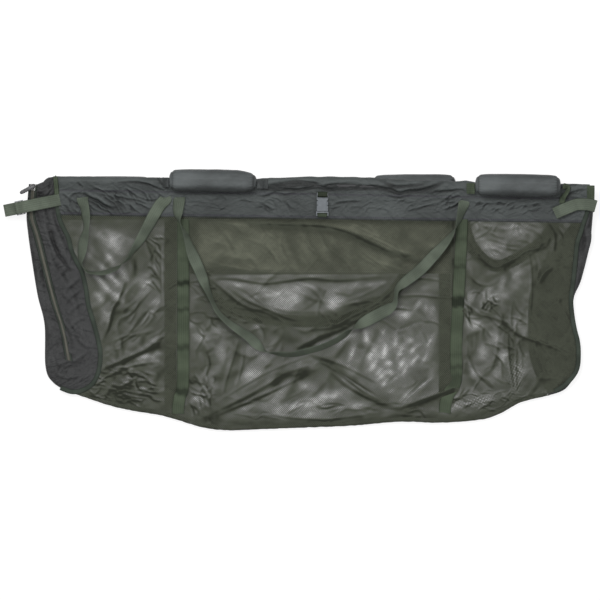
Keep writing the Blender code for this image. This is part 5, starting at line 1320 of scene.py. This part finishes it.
def swollen(obj, pins):
    """Points and faces of a closed skin that air pressure has filled, then subdivided once."""
    remesh = obj.modifiers.new("even", "REMESH")
    remesh.mode = "VOXEL"
    remesh.voxel_size = VOXEL
    mesh = bpy.data.meshes.new_from_object(obj.evaluated_get(bpy.context.evaluated_depsgraph_get()))
    obj.modifiers.clear()
    obj.data = mesh
    before = points_of(mesh)
    group = obj.vertex_groups.new(name="sewn")
    for i, weight in enumerate(pins(before)):
        group.add([i], float(weight), "REPLACE")
    fabric = obj.modifiers.new("fabric", "CLOTH")
    fabric.settings.use_pressure = True
    fabric.settings.uniform_pressure_force = PRESSURE
    fabric.settings.effector_weights.gravity = 0
    fabric.settings.vertex_group_mass = "sewn"
    for number in range(FRAMES):
        bpy.context.scene.frame_set(number + 1)
    graph = bpy.context.evaluated_depsgraph_get()
    move = points_of(bpy.data.meshes.new_from_object(obj.evaluated_get(graph))) - before
    size = np.linalg.norm(move, axis=1)[:, None]
    before += move * np.minimum(1, GROWTH / np.maximum(size, NOTHING))
    obj.modifiers.clear()
    bpy.context.scene.frame_set(1)
    mesh.vertices.foreach_set("co", before.ravel())
    mesh.update()
    obj.modifiers.new("finer", "SUBSURF").levels = 1
    done = bpy.data.meshes.new_from_object(obj.evaluated_get(bpy.context.evaluated_depsgraph_get()))
    bpy.data.objects.remove(obj)
    return points_of(done), np.array([list(face.vertices) for face in done.polygons])


def float_shape(name, centre, length, slope, number):
    """Foam float in its cover: swollen between its two end seams, which are sewn and puckered, with painted
    shade and a painted highlight line.
    """
    cols, rows, seed = 56, 61, number * 3.0
    half_y, half_z, seam_at, seam_w, square = 0.0235, 0.02067, 0.93, 0.03, 0.66
    u = np.linspace(-1, 1, rows)
    along = np.sign(u) * (1 - (1 - np.abs(u)) ** 2.4)
    girth = (1 - np.abs(along) ** 12 * 0.9999) ** 0.32
    angle = np.linspace(0, 2 * math.pi, cols, endpoint=False)
    c, s = np.cos(angle), np.sin(angle)
    y = (np.sign(c) * np.abs(c) ** square * (half_y - 0.002))[None, :] * girth[:, None]
    z = (np.sign(s) * np.abs(s) ** square * (half_z - 0.002))[None, :] * girth[:, None]
    x = np.broadcast_to((along * (length / 2 - 0.0015))[:, None], y.shape)
    verts = stacked(x, y, z).reshape(-1, 3)
    start = piece(name + "_start", verts, quads(rows, cols, wrap=True), FLOAT)
    verts, faces = swollen(
        start, lambda p: np.exp(-((np.abs(p[:, 0]) / (length / 2) - seam_at) / seam_w) ** 2))
    for axis, half in enumerate((length / 2, half_y, half_z)):
        verts[:, axis] *= half / np.abs(verts[:, axis]).max()
    x, y, z = verts.T
    turn = np.arctan2(z, y)
    beside = np.abs(x) / (length / 2) - seam_at
    groove = np.exp(-(beside / 0.022) ** 2)
    pucker = np.exp(-((beside + 0.040) / 0.050) ** 2) * np.sin(turn * 22 + seed)
    scale = 1 - groove * 0.065 + pucker * 0.020 + 0.012 * rough(x, turn * 0.02, 0.03, seed, 2)
    y, z = y * scale, np.maximum(z * scale, -REAR_FLOAT_Z)
    if number == 0:
        y = y * np.where(y > 0, 1 - 0.26 * np.clip((x - 0.050) / 0.036, 0, 1) ** 1.3, 1)
    # Painted shade in the seam grooves and on the lower and upper flanks, painted light and shade on the
    # puckers, noise for uneven tone, and a painted highlight line along the top
    shade = (groove * 0.55 - pucker * 0.24 + np.clip((-y - 0.0080) / 0.008, 0, 1) * 0.55
             + np.clip((y - 0.0140) / 0.007, 0, 1) * 0.24 + 0.12 * rough(x * 0.4, y, 0.014, seed + 2, 2)
             - 0.16 * np.exp(-((y - 0.0050 - 0.0008 * np.sin(x * 60)) / 0.0011) ** 2) * (np.abs(x) < 0.075))
    turned = np.array(Matrix.Rotation(math.atan(slope), 3, "Z"))
    verts = stacked(x, y, z) @ turned.T + np.array(centre)
    uv = stacked(x, turn * 0.022)
    return piece(name, verts, faces, FLOAT, uv, {"shade": shade})


# Floats: body, side, centre, length, slope
FLOATS = (("front", "left", (-0.1785, 0.2440, FRONT_FLOAT_Z), 0.179, SLOPE),
          ("front", "right", (0.44609, 0.23451, FRONT_FLOAT_Z), 0.175, SLOPE),
          ("rear", "left", (-0.39098, 0.23059, REAR_FLOAT_Z), 0.172, REAR_SLOPE),
          ("rear", "right", (0.23386, 0.2349, REAR_FLOAT_Z), 0.172, REAR_SLOPE))
for number, (body, way, centre, length, slope) in enumerate(FLOATS):
    obj = float_shape(f"float_{body}_{way}", centre, length, slope, number)
    settle(obj, body, (f"{body}_float_{way}_cover", f"{body}_float_{way}_core"))

# Tabs that hold the floats to the collars

TAB_W = 0.016
TAB_LOW = POLE_Z + SLEEVE_R + EASE
REAR_TAB_Z = REAR_POLE_Z + SLEEVE_R + EASE + WEB_T / 2
# Front tabs at a float's end: float, side, spread along the collar, width, setback, material
FRONT_TABS = ((0, -1, 0.012, 0.020, 0.001, NYLON), (0, 1, 0.022, 0.020, 0.001, NYLON),
              (1, -1, 0.016, 0.022, 0.004, WEB))
# Twisted tab: x from the float's end, y from the pole, height, roll
TWISTED = ((0.0056, 0.0041, FRONT_FLOAT_Z - 0.006, 0), (0.0148, 0.0012, FRONT_FLOAT_Z - 0.016, 30),
           (0.0138, -0.0071, TAB_LOW + 0.0055, 50), (0.0076, -0.0164, TAB_LOW + 0.002, 35),
           (0.0041, -0.0236, POLE_Z + 0.005, 15), (0.0035, -0.0318, POLE_Z + 0.0022, 0))


def rear_tab(number, centre, length, sign):
    """Webbing under one end of a rear float."""
    x = centre[0] + sign * (length / 2 + 0.0083)
    path = [(x, y, REAR_TAB_Z, 0.0) for y in (rear_line(x) - 0.008, centre[1] - 0.01, centre[1] + 0.008)]
    ribbon(f"tab_rear_{number}", path, TAB_W, WEB_T, WEB, "rear", (f"rear_float_tab_{number}",))


def front_tab(number, centre, length, sign, spread, width, setback, mat):
    """Cloth or webbing that runs down from one end of a front float to the collar."""
    edge = centre[0] + sign * (length / 2 + 0.001)
    top, low = centre[2] - 0.004, TAB_LOW + WEB_T
    path = []
    for share, drop in ((0.0, 0.0), (0.35, 0.25), (0.7, 0.75), (1.0, 1.0)):
        x = edge + sign * spread * share
        path.append((x, front_line(x) - setback, top + (low - top) * drop, 0.0))
    ribbon(f"tab_front_{number}", path, width, WEB_T, mat, "front", (f"front_float_tab_{number}",),
           side=(0, 1, 0), pace=0.0015, across=20)


for number in range(4):
    rear_tab(number + 1, *FLOATS[2 + number // 2][2:4], (-1, 1)[number % 2])
for number, (at, sign, *sizes) in enumerate(FRONT_TABS):
    front_tab(number + 1, *FLOATS[at][2:4], sign, *sizes)
end = FLOATS[1][2][0] + FLOATS[1][3] / 2
path = [(end + x, front_line(end + x) + y, z, roll) for x, y, z, roll in TWISTED]
ribbon("tab_front_4", path, 0.012, WEB_T, WEB, "front", ("front_float_tab_4",), pace=0.0015)

# Zip: tape, coil and ribbed puller

ZIP_STEPS = 120
COIL_STEPS = 720


def zip_points(stations, offsets, lift):
    """Points over the zip line at stations x offsets across it."""
    place = spline(ZIP_LINE, stations)
    front = spline(metres(LEFT_FRONT), place[:, 0])
    fold = spline(metres(LEFT_FOLD), place[:, 0])
    width = np.linalg.norm(front - fold, axis=1)
    grid = np.empty((len(stations), len(offsets), 3))
    for j, offset in enumerate(offsets):
        share = np.clip(place[:, 1] + offset / width, 0, 0.999)
        turns = np.arcsin(share ** 1.5) / math.pi
        for i, turn in enumerate(turns):
            grid[i, j] = gusset_grid(LEFT_GUIDES, place[i, :1], np.array([turn]))[0, 0]
    return grid + upward(grid) * lift


def zip_strip(name, half, shades, lift, mat, node, steps=ZIP_STEPS, tooth=0.0):
    """Strip of cloth or coil over the zip line, with raised teeth where they are asked for."""
    offsets = np.linspace(-half, half, len(shades))
    grid = zip_points(np.linspace(0, len(ZIP_LINE) - 1, ZIP_STEPS), offsets, lift)
    if steps != ZIP_STEPS:
        pick, at = np.linspace(0, ZIP_STEPS - 1, steps), np.arange(ZIP_STEPS)
        grid = np.array([[np.interp(pick, at, grid[:, j, k]) for k in range(3)]
                         for j in range(len(offsets))])
        grid = grid.transpose(2, 0, 1)
    profile = 1 - (offsets / half) ** 4
    grid[..., 2] += tooth * profile[None, :] * (0.45 + 0.55 * (np.arange(steps) % 3 > 0))[:, None]
    uv = stacked(offsets[None, :], reach_along(grid, 0))
    shade = np.broadcast_to(np.array(shades)[None, :], grid.shape[:2])
    cloth(name, grid, mat, "front", (node,), {"shade": shade}, uv)


zip_strip("zip_tape_cloth", ZIP_HALF, (0.7, 0.2, 0.0, 0.3, 0.0, 0.2, 0.7), lift=0.0020, mat=TAPE,
          node="zip_tape")
zip_strip("zip_coil", 0.0030, (0.0,) * 9, lift=0.0026, mat=TEETH, node="zip_teeth", steps=COIL_STEPS,
          tooth=0.0011)

# Places of the puller and the slider
PULLER = Matrix(((-0.46034, -0.88663, 0.04433, -0.55047), (0.88774, -0.45977, 0.02299, 0.23089),
                 (0.0, 0.04994, 0.99875, 0.05541), (0, 0, 0, 1)))
SLIDER = Matrix(((0.91192, -0.12678, -0.3903, -0.54742), (-0.13091, -0.99126, 0.01614, 0.23077),
                 (0.38893, -0.03638, 0.92055, 0.04823), (0, 0, 0, 1)))
# Thin round link: ends on the slider, then on the puller
LINK_ENDS = ((SLIDER, ((-0.0016, 0.0, 0.0029), (0.0, -0.0008, 0.0030), (0.0016, 0.0, 0.0029))),
             (PULLER, ((-0.0016, -0.0085, -0.0004), (0.0, -0.0105, 0.0), (0.0016, -0.0085, -0.0004))))
RIB_PITCH = 0.0036


def puller_grip():
    """Moulded grip of the puller, flat and rounded, with ribs across its middle."""
    rows, cols = 75, 20
    t = np.linspace(0, 1, rows)
    along = -0.009 + 0.0355 * t
    girth = np.clip(1 - np.abs(2 * t - 1) ** 6, 0, 1) ** 0.5
    ribbed = (np.sin(2 * math.pi * along / RIB_PITCH) > 0.3) & (along > 0.006) & (along < 0.025)
    girth = girth * (1 - 0.14 * ribbed)
    angle = np.linspace(0, 2 * math.pi, cols, endpoint=False)
    across, up = (np.sign(part) * np.abs(part) ** 0.7 for part in (np.cos(angle), np.sin(angle)))
    local = stacked(across[None, :] * (0.00425 * girth)[:, None], along[:, None],
                    up[None, :] * (0.0015 * girth)[:, None])
    verts = local.reshape(-1, 3) @ np.array(PULLER.to_3x3()).T + np.array(PULLER.translation)
    settle(piece("puller_grip", verts, quads(rows, cols, wrap=True), RUBBER), "zip_puller", ("zip_puller",))


def closed_wire(name, points, radius, mat, body):
    """Thin round wire through the points and back to the first."""
    curve = bpy.data.curves.new(name, "CURVE")
    curve.dimensions = "3D"
    curve.bevel_depth = radius
    curve.bevel_resolution = 3
    curve.resolution_u = 8
    line = curve.splines.new("BEZIER")
    line.bezier_points.add(len(points) - 1)
    for spot, point in zip(line.bezier_points, points):
        spot.co = point
        spot.handle_left_type = spot.handle_right_type = "AUTO"
    line.use_cyclic_u = True
    curve.materials.append(mat)
    settle(placed(name, curve), body)


puller_grip()
link = [place @ Vector(spot) for place, ends in LINK_ENDS for spot in ends]
closed_wire("puller_link", link, radius=0.00055, mat=METAL, body="zip_slider")

# Buckle webbing: loops round the two bars, in the buckle's own y and z
BUCKLE = Matrix(((0.99988, 0.01492, -0.0029, 0.04634), (-0.0152, 0.98151, -0.19079, 0.21808),
                 (0.0, 0.19081, 0.98163, 0.05582), (0, 0, 0, 1)))
FEMALE_WRAP = ((-0.0230, -0.0057), (-0.0120, -0.0057), (-0.0085, -0.0054), (-0.0056, 0.0), (-0.0050, 0.0026),
               (-0.0030, 0.0031), (0.0010, 0.0031), (0.0030, 0.0016), (0.0031, -0.0018), (0.0010, -0.0040),
               (-0.0018, -0.0040))
MALE_WRAP = ((-0.0300, -0.0060), (-0.0360, -0.0061), (-0.0430, -0.0058), (-0.0466, -0.0050),
             (-0.0482, -0.0020), (-0.0482, 0.0020), (-0.0468, 0.0046), (-0.0440, 0.0049),
             (-0.0418, 0.0036), (-0.0412, 0.0005), (-0.0412, -0.0022))
# Loops: piece, path, width, body, node, darkness, a painted shade over the whole loop, deepest in the
# buckle's slot
BUCKLE_WEBS = (("buckle_web_top", FEMALE_WRAP, 0.020, "front", "buckle_female_loop", 0.8),
               ("buckle_web_low", MALE_WRAP, 0.0196, "buckle_male", "buckle_male_loop", 0.4))
for name, wrap, width, body, node, dark in BUCKLE_WEBS:
    path = [(*(BUCKLE @ Vector((0.0, y, z))), 0.0) for y, z in wrap]
    ribbon(name, path, width, TAPE_T, WEB, body, (node,), side=tuple(BUCKLE.to_3x3().col[0]), pace=0.0010,
           marks=((0, 2 * MID, dark),))

# Floor, lights and camera

FLOOR_HALF = 4
FLOOR_Z = -0.0004
CAMERA_Z = 20
MIDDLE_Z = 0.05


def shader(tree, kind, **inputs):
    """New shader node, with its colour or strength set where given."""
    made = tree.nodes.new("ShaderNode" + kind)
    for key, value in inputs.items():
        made.inputs[key].default_value = value
    return made


def by_ray(tree, plain, seen, output):
    """Show one shader to camera, mirror and glass rays, and a plain one to all other light."""
    info = shader(tree, "LightPath")
    ray, *more = (info.outputs[f"Is {kind} Ray"] for kind in ("Camera", "Glossy", "Transmission"))
    for other in more:
        either = shader(tree, "Math")
        either.operation = "MAXIMUM"
        tree.links.new(ray, either.inputs[0])
        tree.links.new(other, either.inputs[1])
        ray = either.outputs[0]
    choose = shader(tree, "MixShader")
    for socket, source in zip(choose.inputs, (ray, plain.outputs[0], seen.outputs[0])):
        tree.links.new(source, socket)
    tree.links.new(choose.outputs[0], shader(tree, output).inputs[0])


def emptied(owner):
    """Node tree of a material or world, without nodes."""
    owner.use_nodes = True
    owner.node_tree.nodes.clear()
    return owner.node_tree


def white_floor():
    """Floor that looks white, keeps the shadow and gives little light back."""
    corners = [(x * FLOOR_HALF, y * FLOOR_HALF, FLOOR_Z) for x, y in ((-1, -1), (1, -1), (1, 1), (-1, 1))]
    mesh = bpy.data.meshes.new("floor")
    mesh.from_pydata(corners, [], [(0, 1, 2, 3)])
    placed("floor", mesh)
    mat = bpy.data.materials.new("floor")
    tree = emptied(mat)
    both = shader(tree, "AddShader")
    for socket, part in zip(both.inputs, (shader(tree, "BsdfDiffuse", Color=(0.22, 0.22, 0.22, 1)),
                                          shader(tree, "Emission", Strength=0.86))):
        tree.links.new(part.outputs[0], socket)
    by_ray(tree, shader(tree, "BsdfDiffuse", Color=(0.45, 0.45, 0.45, 1)), both, "OutputMaterial")
    mesh.materials.append(mat)


def white_world():
    """Soft light from all round, with a white background."""
    world = bpy.data.worlds.new("studio")
    bpy.context.scene.world = world
    tree = emptied(world)
    soft, white = (shader(tree, "Background", Color=(1, 1, 1, 1), Strength=part) for part in (0.30, 1.0))
    by_ray(tree, soft, white, "OutputWorld")


def lamp(name, place, energy, size):
    """Square lamp that faces the middle of the floor."""
    data = bpy.data.lights.new(name, "AREA")
    data.energy = energy
    data.size = size
    obj = placed(name, data)
    obj.location = place
    obj.rotation_euler = (-Vector(place)).to_track_quat("-Z", "Y").to_euler()


def camera_above():
    """Camera far above, whose view is as wide as the plan."""
    data = bpy.data.cameras.new("camera")
    data.lens = data.sensor_width * (CAMERA_Z - MIDDLE_Z) / (2 * MID * K)
    data.clip_start = 0.1
    data.clip_end = 100
    camera = placed("camera", data)
    camera.location = (0, 0, CAMERA_Z)
    bpy.context.scene.camera = camera


white_floor()
white_world()
lamp("key", (-0.58, 1.05, 3.7), energy=101, size=1.3)
lamp("fill", (1.8, -0.6, 2.2), energy=9, size=1.8)
camera_above()
bpy.context.scene.view_settings.view_transform = "Standard"
